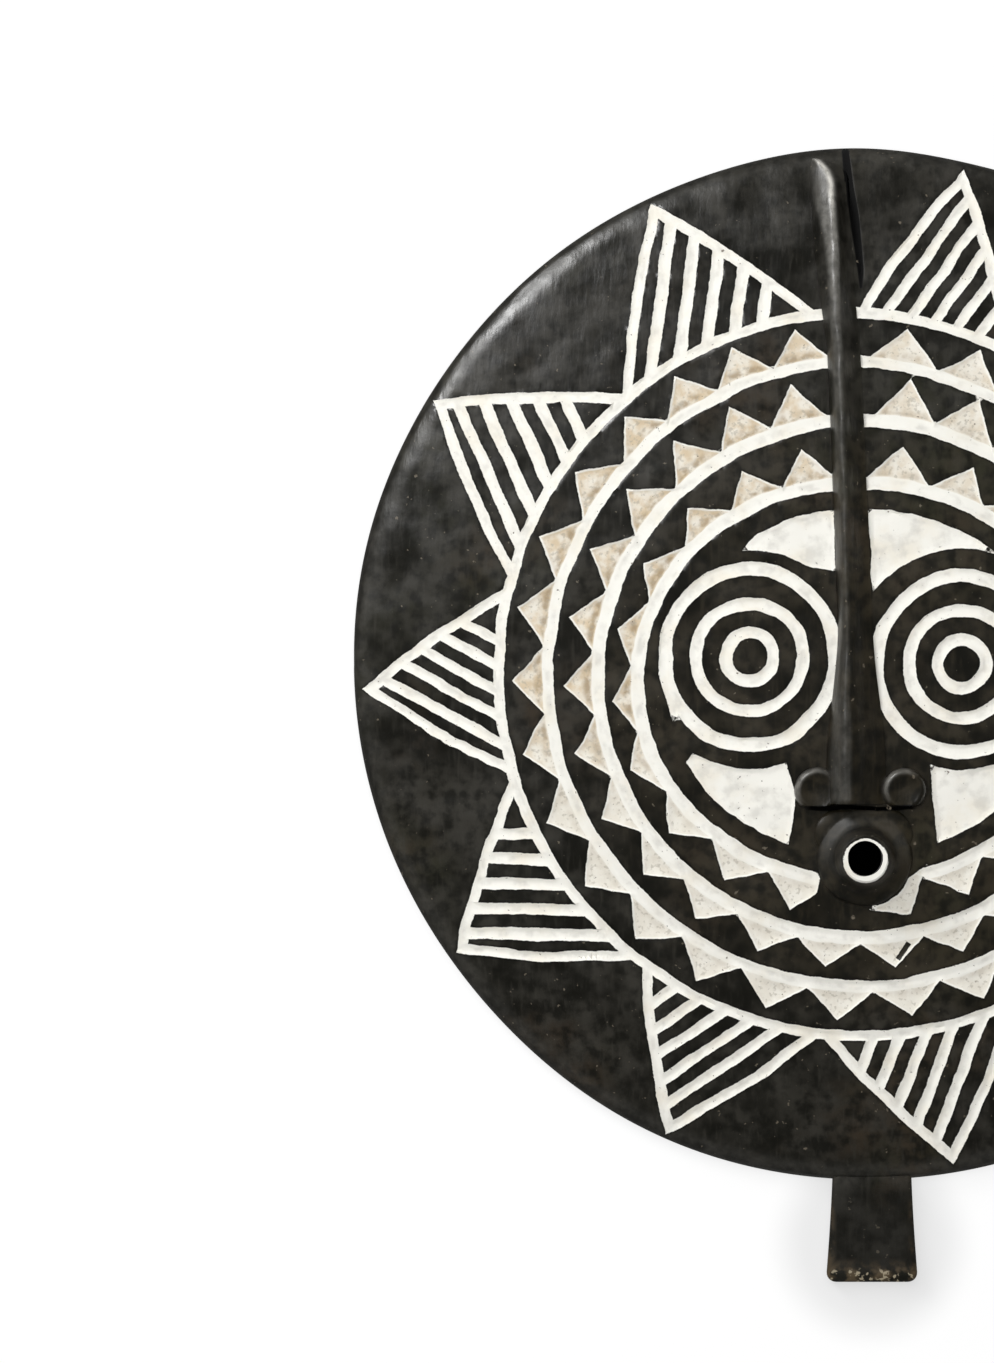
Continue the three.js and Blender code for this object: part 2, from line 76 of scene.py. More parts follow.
# %% Sizes of the board
MILLIMETRE = 0.001
DISC_HALF_WIDTH = 248.5
DISC_HALF_HEIGHT = 251.5
DISC_CENTRE_Y = 24.0
RIM_THICKNESS = 13.0
DOME_RISE = 33.0
DOME_POWER = 2.2
ROLL_FROM, ROLL_DROP = 240.0, 1.7  # where the front starts to roll over to the rim, and how far it falls
EDGE_ROUND = 3.4  # radius of the quarter round at the rim
UNEVEN_RIM = [  # angle, spread in degrees, and how far the hand-cut edge stands out there
    (3.0, 12.0, 1.3),
    (38.0, 16.0, 1.1),
    (80.0, 22.0, 2.0),
    (132.0, 20.0, -1.3),
    (280.0, 22.0, 2.0),
    (347.0, 10.0, -1.3),
]
PATTERN = np.array([-2.9, -3.2])  # where the rings have their middle
LINE_WIDTH = 5.2
FAR = 8.0  # distances are told apart only up to here
SHORTEST_WAVE, WAVE_PEAK = 0.6, 1.4  # share of a wave's length, and what a sum of waves is divided by


def uneven(angle):
    """The rim's radius at an angle as a share of the even one: 1 plus a few rounded bumps."""
    total = np.ones_like(angle, dtype=float)
    for place, spread, size in UNEVEN_RIM:
        off = (angle - place + 180) % 360 - 180
        total += size / DISC_HALF_HEIGHT * np.exp(-((off / spread) ** 2))
    return total


def from_middle(x, y):
    """Distance from the disc's middle, as if the disc were round and even."""
    angle = np.degrees(np.arctan2(-x, y)) % 360
    return np.hypot(x * DISC_HALF_HEIGHT / DISC_HALF_WIDTH, y) / uneven(angle)


def dome(x, y):
    """Height of the smooth front: the rim's thickness, plus a rise that falls with a power of the
    distance from the middle, less a roll near the rim that grows with the square."""
    distance = from_middle(x, y)
    roll = np.maximum(distance - ROLL_FROM, 0) / (DISC_HALF_HEIGHT - EDGE_ROUND - ROLL_FROM)
    rise = 1 - np.minimum(distance / DISC_HALF_HEIGHT, 1) ** DOME_POWER
    return RIM_THICKNESS + DOME_RISE * rise - ROLL_DROP * np.minimum(roll, 1) ** 2


def smooth_rise(value, low, high):
    """0 below low, 1 above high, and a smooth s-curve between."""
    share = np.clip((value - low) / (high - low), 0, 1)
    return share * share * (3 - 2 * share)


def waves(x, y, length, seed, count=7):
    """A smooth random field between about -1 and 1: the mean of sine waves with random directions
    and phases, whose lengths lie round the given one."""
    dice = np.random.default_rng(seed)
    total = np.zeros_like(x)
    for turn, phase, stretch in dice.random((count, 3)):
        across = np.cos(turn * 2 * np.pi) * x + np.sin(turn * 2 * np.pi) * y
        total += np.sin(2 * np.pi * (across / (length * (SHORTEST_WAVE + stretch)) + phase))
    return total / np.sqrt(count / 2) / WAVE_PEAK


print("dome height at the middle and at the rim:", float(dome(0.0, 0.0)), float(dome(0.0, DISC_HALF_HEIGHT)))

# %% [markdown]
# ## Distances to a cut
#
# Each sunk shape is described by how far a point lies inside it, in millimetres: above zero inside
# the cut, below zero on the wood left standing. With that one number a wall, a floor and a painted
# edge can all be placed. A ring is all that lies near a curve, a ray all that lies between its two
# sides, and a panel is measured to its outline.


# %% Distance helpers
def polar(angle, radius, centre=PATTERN):
    """The point at an angle, in degrees from straight up towards the left, and a radius."""
    turn = np.radians(angle)
    return np.stack([centre[0] - radius * np.sin(turn), centre[1] + radius * np.cos(turn)], axis=-1)


def around(x, y, centre=PATTERN):
    """Angle, 0 to 360, and radius of points round a centre."""
    right, up = x - centre[0], y - centre[1]
    return np.degrees(np.arctan2(-right, up)) % 360, np.hypot(right, up)


def in_outline(x, y, outline):
    """Distance to the nearest side of a closed outline, above zero inside it, by counting how many
    sides a line to the right crosses."""
    nearest = np.full_like(x, np.inf)
    inside = np.zeros(x.shape, dtype=bool)
    for start, end in zip(outline, np.roll(outline, -1, axis=0)):
        along = end - start
        share = np.clip(((x - start[0]) * along[0] + (y - start[1]) * along[1]) / (along @ along), 0, 1)
        gap = np.hypot(x - start[0] - share * along[0], y - start[1] - share * along[1])
        nearest = np.minimum(nearest, gap)
        if start[1] != end[1]:
            crossing = start[0] + (y - start[1]) * along[0] / along[1]
            inside ^= ((start[1] > y) != (end[1] > y)) & (x < crossing)
    return np.where(inside, nearest, -nearest)


def in_circle(x, y, centre, radius):
    """How far points lie inside a circle."""
    return radius - np.hypot(x - centre[0], y - centre[1])


# %% [markdown]
# ## Rings of teeth
#
# Three rings run round the face. They were cut by hand: each is a little wider at the bottom than at
# the top. Every tooth is a chip of three facets, as a knife leaves it: two that fall from its sides,
# and one that rises gently outwards from the crease beside the ring. Near any point only the nearest
# tooth counts, so the tooth is looked up by the point's angle and all points are done at once.

# %% The toothed rings
DIP_ANGLE, DIP_SPREAD = 338.0, 15.0  # degrees: where two of the rings sag, and over how much
RAY_RING = dict(radius=173.6, drop=0.9, widen=0.0, dip=3.5)
TOOTHED_RINGS = [  # inner edge, teeth's tips, width of the band, and stretches of teeth with their steps
    dict(
        edge=dict(radius=149.4, drop=0.9, widen=0.0, dip=3.0),
        apex=dict(radius=169.8, drop=0.0, widen=0.0, dip=2.5),
        band=5.4,
        stretches=[(10.8, 42.9, 3), (42.9, 200.6, 13), (200.6, 339.6, 12), (339.6, 352.1, 1)],
    ),
    dict(
        edge=dict(radius=123.6, drop=3.3, widen=1.0, dip=0.0),
        apex=dict(radius=144.7, drop=0.0, widen=0.0, dip=0.0),
        band=6.3,
        stretches=[(13.75, 38.75, 2), (38.75, 200.2, 12), (200.2, 336.5, 10), (336.5, 350.2, 1)],
    ),
    dict(
        edge=dict(radius=99.6, drop=5.1, widen=5.7, dip=0.0),
        apex=dict(radius=118.6, drop=4.2, widen=2.6, dip=0.0),
        band=6.3,
        stretches=[(15.0, 46.5, 2), (46.5, 163.4, 7), (205.6, 331.25, 8), (331.25, 349.2, 1)],
    ),
]
CHIP_START = 0.9  # depth of a chip along its two sides
CHIP_SLOPE = 0.25  # how steeply its side facets fall
CHIP_DEEPEST = 2.05  # depth of the crease beside the band
CREASE_AT = 1.9  # how far out from the band the crease lies
CHIP_INNER_SLOPE = 0.5  # how steeply it falls from the band to the crease
CHIP_FLOOR_SLOPE = 0.06  # how gently the floor rises outwards from the crease


def curve_radius(curve, angle):
    """Radius of a hand-cut ring: its mean, less a drop at the top, a widening to both sides and a
    dip just right of the ridge."""
    turn = np.radians(angle)
    dip = curve["dip"] * np.exp(-((((angle % 360) - DIP_ANGLE) / DIP_SPREAD) ** 2))
    return curve["radius"] - curve["drop"] * np.cos(turn) - curve["widen"] * np.cos(2 * turn) - dip


def in_band(x, y, curve, width):
    """Distance inside a band that starts on a curve and is as wide as given."""
    angle, radius = around(x, y)
    return width / 2 - np.abs(radius - curve_radius(curve, angle) - width / 2)


def tooth_angles(stretches):
    """Angles of the teeth: each stretch of a ring is shared out evenly."""
    angles = [np.linspace(first, last, steps + 1) for first, last, steps in stretches]
    return np.unique(np.round(np.concatenate(angles), 6))


def beside_line(x, y, start, end):
    """How far points lie left of the line from start to end, both given point by point."""
    along = end - start
    across = along[..., 0] * (y - start[..., 1]) - along[..., 1] * (x - start[..., 0])
    return across / np.linalg.norm(along, axis=-1)


def in_teeth(x, y, ring):
    """Distances from the two sides of a ring's nearest tooth, and outwards from the band it stands
    on. The sides change places from tooth to tooth, so that two neighbours share one number where
    they meet and it changes smoothly across."""
    angles = tooth_angles(ring["stretches"])
    gap_after = (np.roll(angles, -1) - angles) % 360
    half = np.minimum(gap_after, np.roll(gap_after, 1)) / 2
    angle, radius = around(x, y)
    off = (angle[:, None] - angles[None, :] + 180) % 360 - 180
    nearest = np.argmin(np.abs(off), axis=1)
    apex_angle, half_angle = angles[nearest], half[nearest]
    tip = polar(apex_angle, curve_radius(ring["apex"], apex_angle))
    low, high = (
        polar(side, curve_radius(ring["edge"], side) + ring["band"])
        for side in (apex_angle - half_angle, apex_angle + half_angle)
    )
    from_band = radius - curve_radius(ring["edge"], angle) - ring["band"]
    from_low, from_high = beside_line(x, y, low, tip), beside_line(x, y, tip, high)
    odd = nearest % 2 == 1
    return np.where(odd, from_high, from_low), np.where(odd, from_low, from_high), from_band


print("teeth in each ring:", [len(tooth_angles(ring["stretches"])) for ring in TOOTHED_RINGS])

# %% [markdown]
# ## Rays
#
# Seven rays can be seen whole or nearly so, each with its own lean, so each has its own row of
# numbers. The rest of the circle repeats a plain one. A ray is measured by how far a point lies
# inside each of its two bowed sides. The strip along either side is its edge, and both strips meet
# in a sharp tip. The stripes inside run parallel to the left side at an even pitch.

# %% The rays
RAYS = [  # tip angle and radius, right and left corner on the ring, first stripe and pitch
    (24.0, 250.0, 7.7, 40.2, 9.8, 12.6),
    (57.5, 247.0, 40.8, 74.4, 9.4, 12.3),
    (91.9, 242.6, 77.3, 105.6, 8.6, 10.7),
    (124.7, 239.9, 107.7, 141.0, 8.8, 12.2),
    (157.2, 244.4, 143.9, 172.8, 11.2, 11.2),
    (190.8, 244.2, 174.6, 205.0, 11.6, 11.6),
    (348.3, 250.3, 335.0, 359.8, 9.6, 10.8),
]
PLAIN_RAYS = 4
PLAIN_RAYS_FROM, PLAIN_RAYS_TO = 206.5, 333.5  # angles between which they are spread out
PLAIN_RAY_TIP = 245.5
PLAIN_STRIPES = (10.0, 11.4)  # first stripe and pitch
STRIPES = 5  # in each ray
STRIPE_SHARE = 0.235  # half a stripe's width as a share of the pitch
MEAN_PITCH = 11.6
RAY_EDGE_WIDTH = 5.0
RAY_BOW = 2.3  # how far a side bulges
TIP_INSET = 1.5  # from a ray's sharp tip back to the point that its stripes are measured from
RAYS_FROM = 165.0  # no ray reaches further in
RAY_OVERLAP = 1.0  # how far the rays run into the ring they stand on
RAY_GAP = 1.0  # degrees from a plain ray's corner to the middle between two


def beside_bow(x, y, start, end, bow):
    """How far points lie left of an arc from start to end that bulges to its right: the radius of the
    arc less the distance to its centre."""
    along = end - start
    length = np.hypot(*along)
    radius = length**2 / (8 * bow) + bow / 2
    left = np.array([-along[1], along[0]]) / length
    centre = (start + end) / 2 + left * (radius - bow)
    return radius - np.hypot(x - centre[0], y - centre[1])


def in_ray(x, y, tip_angle, tip_radius, right_angle, left_angle, first_stripe, pitch):
    """Distances inside a ray's left and right side and outwards from its base, and the place across
    its stripes, counted in stripes from the first."""
    tip, near_tip = polar(tip_angle, tip_radius), polar(tip_angle, tip_radius - TIP_INSET)
    right, left = (
        polar(angle, curve_radius(RAY_RING, angle) + LINE_WIDTH / 2) for angle in (right_angle, left_angle)
    )
    along = (left - near_tip) / np.hypot(*(left - near_tip))
    across = (x - near_tip[0]) * -along[1] + (y - near_tip[1]) * along[0]
    outer = []
    for corner, turn in ((left, -1), (right, 1)):
        side = (tip - corner) / np.hypot(*(tip - corner))
        outer.append(corner + np.array([side[1], -side[0]]) * turn * RAY_EDGE_WIDTH / 2)
    inside_left = beside_bow(x, y, tip, outer[0], RAY_BOW)
    inside_right = beside_bow(x, y, outer[1], tip, RAY_BOW)
    from_base = beside_line(x, y, left, right)
    return inside_left, inside_right, from_base, (across - first_stripe) / pitch


def in_rays(x, y):
    """The numbers of the ray that each point lies deepest in. The sides change places from ray to
    ray, so that two neighbours share one number halfway between them."""
    a, b, place, deepest = (np.full_like(x, -FAR) for _ in range(4))
    for number, row in enumerate(ALL_RAYS):
        left, right, from_base, across = in_ray(x, y, *row)
        depth = np.minimum(np.minimum(left, right), from_base)
        first, second = (left, right) if number % 2 else (right, left)
        here = depth > deepest
        a, b = np.where(here, first, a), np.where(here, second, b)
        place, deepest = np.where(here, across, place), np.where(here, depth, deepest)
    return a, b, place


ray_pitch = (PLAIN_RAYS_TO - PLAIN_RAYS_FROM) / PLAIN_RAYS
plain_starts = PLAIN_RAYS_FROM + ray_pitch * np.arange(PLAIN_RAYS)
ALL_RAYS = RAYS[:-1] + [
    (a + ray_pitch / 2, PLAIN_RAY_TIP, a + RAY_GAP, a + ray_pitch - RAY_GAP, *PLAIN_STRIPES)
    for a in plain_starts
]
ALL_RAYS.append(RAYS[-1])
print("rays:", len(ALL_RAYS))

# %% [markdown]
# ## Eyes, panels and the mouth's border
#
# Each eye is three sunk rings round a pupil left standing. Four panels fill the forehead and the cheeks,
# between the inner ring and the eyes. The inner ring stops on both sides of the mouth.

# %% The face
EYES = np.array([[-56.9, 4.1], [46.3, 0.7]])
EYE_RINGS = [(8.8, 14.8, 1.0), (23.2, 29.2, 1.0), (38.0, 44.6, 1.04)]  # inner, outer, how much taller
FACE_BORDER = 9.3  # wood left between the inner ring and a panel
MOUTH = np.array([-1.0, -93.8])
MOUTH_BORDER = 23.7  # radius of the wood left round the mouth
ARC_STEPS = 9  # points along the round side of a panel
LAST_CHIP = np.array([[1.0, -118.8], [21.4, -121.6], [29.2, -96.5]])  # below and right of the mouth
LAST_CHIP_OUTWARDS = 8.0  # it is finished like the outer part of a tooth
LAST_CHIP_MARGIN = 2.0  # and so is the wood this far round it
EYE_SPUR = np.array([[-101.4, -3.7], [-94.1, -29.5], [-91.1, -23.1]])  # beside the left eye


def face_arc(first, last):
    """Points of a panel's outer side, which runs along the inner ring."""
    angles = np.linspace(first, last, ARC_STEPS)
    return polar(angles, curve_radius(TOOTHED_RINGS[2]["edge"], angles) - FACE_BORDER)


def eye_arc(eye, radius, first, last):
    """Points of a panel's side that runs round an eye."""
    angles = np.linspace(first, last, ARC_STEPS)
    return polar(angles, radius, EYES[eye])


PANELS = [
    np.vstack([face_arc(9.5, 37), eye_arc(0, 51.8, 4, -31), [[-15, 46]]]),
    np.vstack([face_arc(-2.5, -45), eye_arc(1, 56, -18, 51)]),
    np.vstack([face_arc(157.5, 117), eye_arc(0, 54.5, 149, 199), [[-34.6, -64]]]),
    np.vstack([face_arc(204, 246), eye_arc(1, 51.5, 211, 162), [[32.4, -64]]]),
]
RING_GAP = np.array([polar(a, r) for a, r in ((168.7, 85), (168.7, 135), (197, 135), (197, 85))])


def in_face(x, y):
    """Distance inside the eyes' rings and the four panels."""
    inside = in_outline(x, y, EYE_SPUR)
    for centre in EYES:
        for inner, outer, taller in EYE_RINGS:
            distance = np.hypot(x - centre[0], (y - centre[1]) / taller)
            inside = np.maximum(inside, (outer - inner) / 2 - np.abs(distance - (outer + inner) / 2))
    for panel in PANELS:
        inside = np.maximum(inside, in_outline(x, y, panel))
    return inside


# %% [markdown]
# ## A knife line
#
# Right of the ridge's top runs a shallow cut of its own. It was never painted white, and it is coloured pure
# black as painted shade.

# %% The knife line
KNIFE_LINE = np.array(  # its middle line, and its width in the last column
    [
        (-10.0, 250.5, 3.4),
        (-8.1, 232.0, 4.3),
        (-5.9, 220.0, 4.3),
        (-5.0, 212.0, 4.2),
        (-3.8, 202.5, 3.6),
        (-2.7, 192.0, 2.8),
        (-2.5, 184.0, 1.4),
    ]
)
KNIFE_DEPTH = 0.7
KNIFE_SLOPE_WIDTH = 1.7  # how far inside the line it is reached


def in_knife_line(x, y):
    """How far a point lies inside a line whose width changes evenly from point to point."""
    inside = np.full_like(x, -FAR)
    for (x0, y0, width0), (x1, y1, width1) in zip(KNIFE_LINE[:-1], KNIFE_LINE[1:]):
        share = ((x - x0) * (x1 - x0) + (y - y0) * (y1 - y0)) / ((x1 - x0) ** 2 + (y1 - y0) ** 2)
        share = np.clip(share, 0, 1)
        gap = np.hypot(x - x0 - share * (x1 - x0), y - y0 - share * (y1 - y0))
        inside = np.maximum(inside, (width0 + (width1 - width0) * share) / 2 - gap)
    return inside


# %% [markdown]
# ## The whole carving
#
# The shapes are joined by taking, at each point, the one that the point lies deepest in. A slow
# wobble of a few tenths of a millimetre moves every edge, because no line here was ruled. A stroke is
# a groove with a slightly hollow floor, and a chip goes deeper towards its crease.

# %% Depth of the carving
WALL_SLOPE = 2.6  # how steeply every wall falls
GROOVE_DEPTH = 1.1
GROOVE_HOLLOW, HOLLOW_REACH = 0.12, 3.0  # how much deeper per millimetre inside, and how far in
HAND_WOBBLE = [(0.34, 26.0, 11), (0.16, 8.0, 23)]  # size, wave length and seed
PAINT_EDGE = 250.4  # no paint beyond this distance, where the rim rolls over


def cut_distances(x, y):
    """The numbers that describe all cuts: distances inside bands and panels, inside the two sides of
    a ray, the place across its stripes, the distance past the ring that the rays stand on, and the
    distances inside the two sides of a tooth and outwards from its band."""
    for size, length, seed in HAND_WOBBLE:
        x, y = x + size * waves(x, y, length, seed), y + size * waves(x, y, length, seed + 1)
    band = np.maximum(in_band(x, y, RAY_RING, LINE_WIDTH), in_face(x, y))
    ray_a, ray_b, stripe = (np.full_like(x, -FAR) for _ in range(3))
    angle, radius = around(x, y)
    past_ring = radius - curve_radius(RAY_RING, angle) - LINE_WIDTH / 2
    outside = radius > RAYS_FROM
    ray_a[outside], ray_b[outside], stripe[outside] = in_rays(x[outside], y[outside])
    mouth = in_circle(x, y, MOUTH, MOUTH_BORDER)
    ring_gap = np.maximum(mouth, in_outline(x, y, RING_GAP))
    low, high = in_outline(x, y, LAST_CHIP), -mouth
    outwards = np.where(np.minimum(low, high) > -LAST_CHIP_MARGIN, LAST_CHIP_OUTWARDS, 0.0)
    for number, ring in enumerate(TOOTHED_RINGS):
        in_ring = in_band(x, y, ring["edge"], ring["band"])
        side_a, side_b, from_band = in_teeth(x, y, ring)
        root = from_band + ring["band"]
        if number == len(TOOTHED_RINGS) - 1:
            in_ring, root = np.minimum(in_ring, -ring_gap), np.minimum(root, -ring_gap)
        band = np.maximum(band, in_ring)
        here = np.minimum(np.minimum(side_a, side_b), root) > np.minimum(low, high)
        low = np.where(here, np.minimum(side_a, root), low)
        high = np.where(here, np.minimum(side_b, root), high)
        outwards = np.where(here, from_band, outwards)
    fields = dict(band=band, ray_a=ray_a, ray_b=ray_b, past_ring=past_ring)
    fields.update(side_a=low, side_b=high, outwards=outwards)
    fields = {name: np.clip(field, -FAR, FAR) for name, field in fields.items()}
    fields["stripe"] = np.clip(stripe, -1, STRIPES)
    return fields


def in_groove(cuts):
    """How far a point lies inside a band, the edge of a ray or one of its stripes."""
    wedge = np.minimum(cuts["ray_a"], cuts["ray_b"])
    edge = np.minimum(wedge, RAY_EDGE_WIDTH - wedge)
    place = np.clip(cuts["stripe"], -0.5, STRIPES - 0.5)
    off = np.abs(place - np.clip(np.round(place), 0, STRIPES - 1))
    stripe = np.minimum(wedge, (STRIPE_SHARE - off) * MEAN_PITCH)
    return np.maximum(cuts["band"], np.minimum(np.maximum(edge, stripe), cuts["past_ring"] + RAY_OVERLAP))


def inside_any(cuts):
    """How far a point lies inside the carving as a whole."""
    return np.maximum(in_groove(cuts), np.minimum(cuts["side_a"], cuts["side_b"]))


def carved_depth(cuts):
    """A groove's floor is nearly flat. A chip falls from both sides and is deepest in the crease
    beside its band, from where it rises outwards. A steep wall leads down to either."""
    groove = in_groove(cuts)
    floor = np.where(groove > 0, GROOVE_DEPTH + GROOVE_HOLLOW * np.minimum(groove, HOLLOW_REACH), 0)
    tooth = np.minimum(cuts["side_a"], cuts["side_b"])
    crease = CHIP_DEEPEST - CHIP_FLOOR_SLOPE * np.maximum(cuts["outwards"] - CREASE_AT, 0)
    chip = np.minimum(CHIP_START + CHIP_SLOPE * tooth, crease)
    chip = np.minimum(chip, GROOVE_DEPTH + CHIP_INNER_SLOPE * np.maximum(cuts["outwards"], 0))
    chip = np.where(groove > 0, 0, chip)
    depth = np.maximum(floor, np.where(tooth > 0, chip, 0))
    return np.clip(np.minimum(depth, WALL_SLOPE * inside_any(cuts)), 0, None)


# %% [markdown]
# ## Front of the board
#
# A square grid is folded onto the disc ring by ring, so that its cells keep the same area everywhere.
# Points that lie close to the edge of a cut are then pulled onto it, and each cell is split along the
# diagonal whose ends lie at the same height, so walls come out clean with no more points.

# %% The front's points
CELLS = 276
FRONT_RADIUS = DISC_HALF_HEIGHT - EDGE_ROUND
SNAP = 0.62  # how far a point may move to an edge, as a share of a cell
PULLS = 2
SLOPE_STEP = 0.05  # how far apart two points are compared to find the slope
LEAST_STEEPNESS = 0.5  # keeps a point from flying off where the slope is slight
SAME_STEP = 0.02  # steps in height that differ by less count as the same
ADZE_MARKS = [(0.20, 34.0, 5), (0.07, 12.0, 6)]  # height, length and seed


def disc_grid(cells):
    """A square grid folded onto the unit disc: a point's larger coordinate becomes its radius and
    the ratio of the two its angle."""
    across, up = np.meshgrid(np.linspace(-1, 1, cells + 1), np.linspace(-1, 1, cells + 1), indexing="ij")
    flat = np.abs(across) > np.abs(up)
    radius = np.where(flat, across, up)
    ratio = np.where(flat, up, across) / np.where(radius == 0, 1, radius)
    turn = np.where(flat, ratio * np.pi / 4, np.pi / 2 - ratio * np.pi / 4)
    return radius * np.cos(turn), radius * np.sin(turn)


def pull_to_edges(x, y, cell, free):
    """Moves free points that lie within a share of a cell from a cut's edge onto that edge, along
    the slope of the distance."""
    for _ in range(PULLS):
        inside = inside_any(cut_distances(x, y))
        near = free & (np.abs(inside) < SNAP * cell)
        here, px, py = inside[near], x[near], y[near]
        slope_x = (inside_any(cut_distances(px + SLOPE_STEP, py)) - here) / SLOPE_STEP
        slope_y = (inside_any(cut_distances(px, py + SLOPE_STEP)) - here) / SLOPE_STEP
        steepness = np.maximum(slope_x**2 + slope_y**2, LEAST_STEEPNESS)
        x[near] -= here * slope_x / steepness
        y[near] -= here * slope_y / steepness
    return x, y


def split_cells(height, outer_corner):
    """Two triangles for each cell of a grid, along the diagonal with the smaller step in height, or
    where both steps are the same, along the one that leads to the grid's outer corner: the cells
    there are folded nearly flat, and the other diagonal would leave a sliver."""
    numbers = np.arange(height.size).reshape(height.shape)
    a, b = numbers[:-1, :-1].ravel(), numbers[1:, :-1].ravel()
    c, d = numbers[1:, 1:].ravel(), numbers[:-1, 1:].ravel()
    flat = height.ravel()
    one_step, other_step = np.abs(flat[a] - flat[c]), np.abs(flat[b] - flat[d])
    same = np.abs(one_step - other_step) < SAME_STEP
    first = np.where(same, outer_corner.ravel(), one_step < other_step)
    one = np.where(first[:, None], np.stack([a, b, c], 1), np.stack([a, b, d], 1))
    two = np.where(first[:, None], np.stack([a, c, d], 1), np.stack([b, c, d], 1))
    return np.vstack([one, two])


unit_x, unit_y = disc_grid(CELLS)
squeeze = DISC_HALF_WIDTH / DISC_HALF_HEIGHT
front_x, front_y = (unit_x * FRONT_RADIUS * squeeze).ravel(), (unit_y * FRONT_RADIUS).ravel()
stretch = uneven(np.degrees(np.arctan2(-front_x, front_y)))
front_x, front_y = front_x * stretch, front_y * stretch
cell_size = np.sqrt(np.pi) * FRONT_RADIUS / CELLS
inner = np.zeros((CELLS + 1, CELLS + 1), dtype=bool)
inner[1:-1, 1:-1] = True
front_x, front_y = pull_to_edges(front_x, front_y, cell_size, inner.ravel())
front_depth = carved_depth(cut_distances(front_x, front_y))
knife_depth = KNIFE_DEPTH * smooth_rise(in_knife_line(front_x, front_y), 0, KNIFE_SLOPE_WIDTH)
front_depth = np.maximum(front_depth, knife_depth)
front_z = dome(front_x, front_y) - front_depth
for size, length, seed in ADZE_MARKS:
    front_z += size * waves(front_x, front_y, length, seed)
cell_side = np.arange(CELLS) < CELLS / 2
outer_corner = cell_side[:, None] == cell_side[None, :]
front_faces = split_cells(front_depth.reshape(CELLS + 1, CELLS + 1), outer_corner)
print("front cell, millimetres:", round(cell_size, 2), "triangles:", len(front_faces))
print("deepest cut, millimetres:", round(float(front_depth.max()), 2))

# %% [markdown]
# ## Rim, and skins that close
#
# The rim rolls over in a quarter round and stands on a flat back. Everything else on the mask is a
# closed skin: rings of points carried along a path, with a point at each end. A helper makes the mesh
# and turns its faces outwards by the sign of its volume.

# %% Mesh helpers
BOARD, RAISED, MOUTH_CONE, BACK = range(4)  # places in the list of finishes
FINISHES = [
    bpy.data.materials.new(name) for name in ("painted_board", "raised_wood", "mouth_wood", "hollowed_wood")
]
EDGE_PROFILE = [(1.0, -0.95), (2.0, -2.2), (2.9, -3.8), (3.4, -5.6)]  # outwards, and down from the dome
RIM_WEAR = 0.4
RIM_WEAR_WAVES = (45.0, 3)  # wave length and seed
RIM_WEAR_RANGE = (0.4, 2.0)  # shares of the wear
RIM_STRETCH = 60  # how far a turn by one radian counts along those waves
EDGE_FOOT = [(0.0, 3.4), (-0.5, 1.5), (-1.6, 0.3), (-2.6, 0.0)]  # outwards from the rim, and height


def volume(points, faces):
    """A sixth of the sum, over all triangles, of one corner times the cross product of the others."""
    a, b, c = (points[faces[:, k]] for k in range(3))
    return np.einsum("ij,ij->i", a, np.cross(b, c)).sum() / 6


def closed_mesh(name, points, faces, finish_number=BOARD):
    """A mesh object from points in millimetres round the disc's middle."""
    if volume(points, faces) < 0:
        faces = faces[:, ::-1]
    placed = (points + (0, DISC_CENTRE_Y, 0)) * MILLIMETRE
    mesh = bpy.data.meshes.new(name)
    mesh.from_pydata(placed.tolist(), [], faces.tolist())
    for material in FINISHES:
        mesh.materials.append(material)
    mesh.polygons.foreach_set("material_index", np.full(len(faces), finish_number, dtype=np.int32))
    mesh.update()
    piece = bpy.data.objects.new(name, mesh)
    bpy.context.scene.collection.objects.link(piece)
    return piece


def skin(rings):
    """Points and faces of rings in a row, closed by a point in the middle of the first and of the
    last ring."""
    count, around_ring = rings.shape[:2]
    points = np.vstack([rings.reshape(-1, 3), rings[0].mean(0), rings[-1].mean(0)])
    row, step = np.meshgrid(np.arange(count - 1), np.arange(around_ring), indexing="ij")
    a = row * around_ring + step
    b = row * around_ring + (step + 1) % around_ring
    c, d = b + around_ring, a + around_ring
    sides = np.vstack([np.stack([a, b, c], -1).reshape(-1, 3), np.stack([a, c, d], -1).reshape(-1, 3)])
    spot = np.arange(around_ring)
    after = (spot + 1) % around_ring
    first, last = count * around_ring, count * around_ring + 1
    start = np.stack([np.full_like(spot, first), after, spot], 1)
    top = (count - 1) * around_ring
    end = np.stack([np.full_like(spot, last), spot + top, after + top], 1)
    return points, np.vstack([sides, start, end])


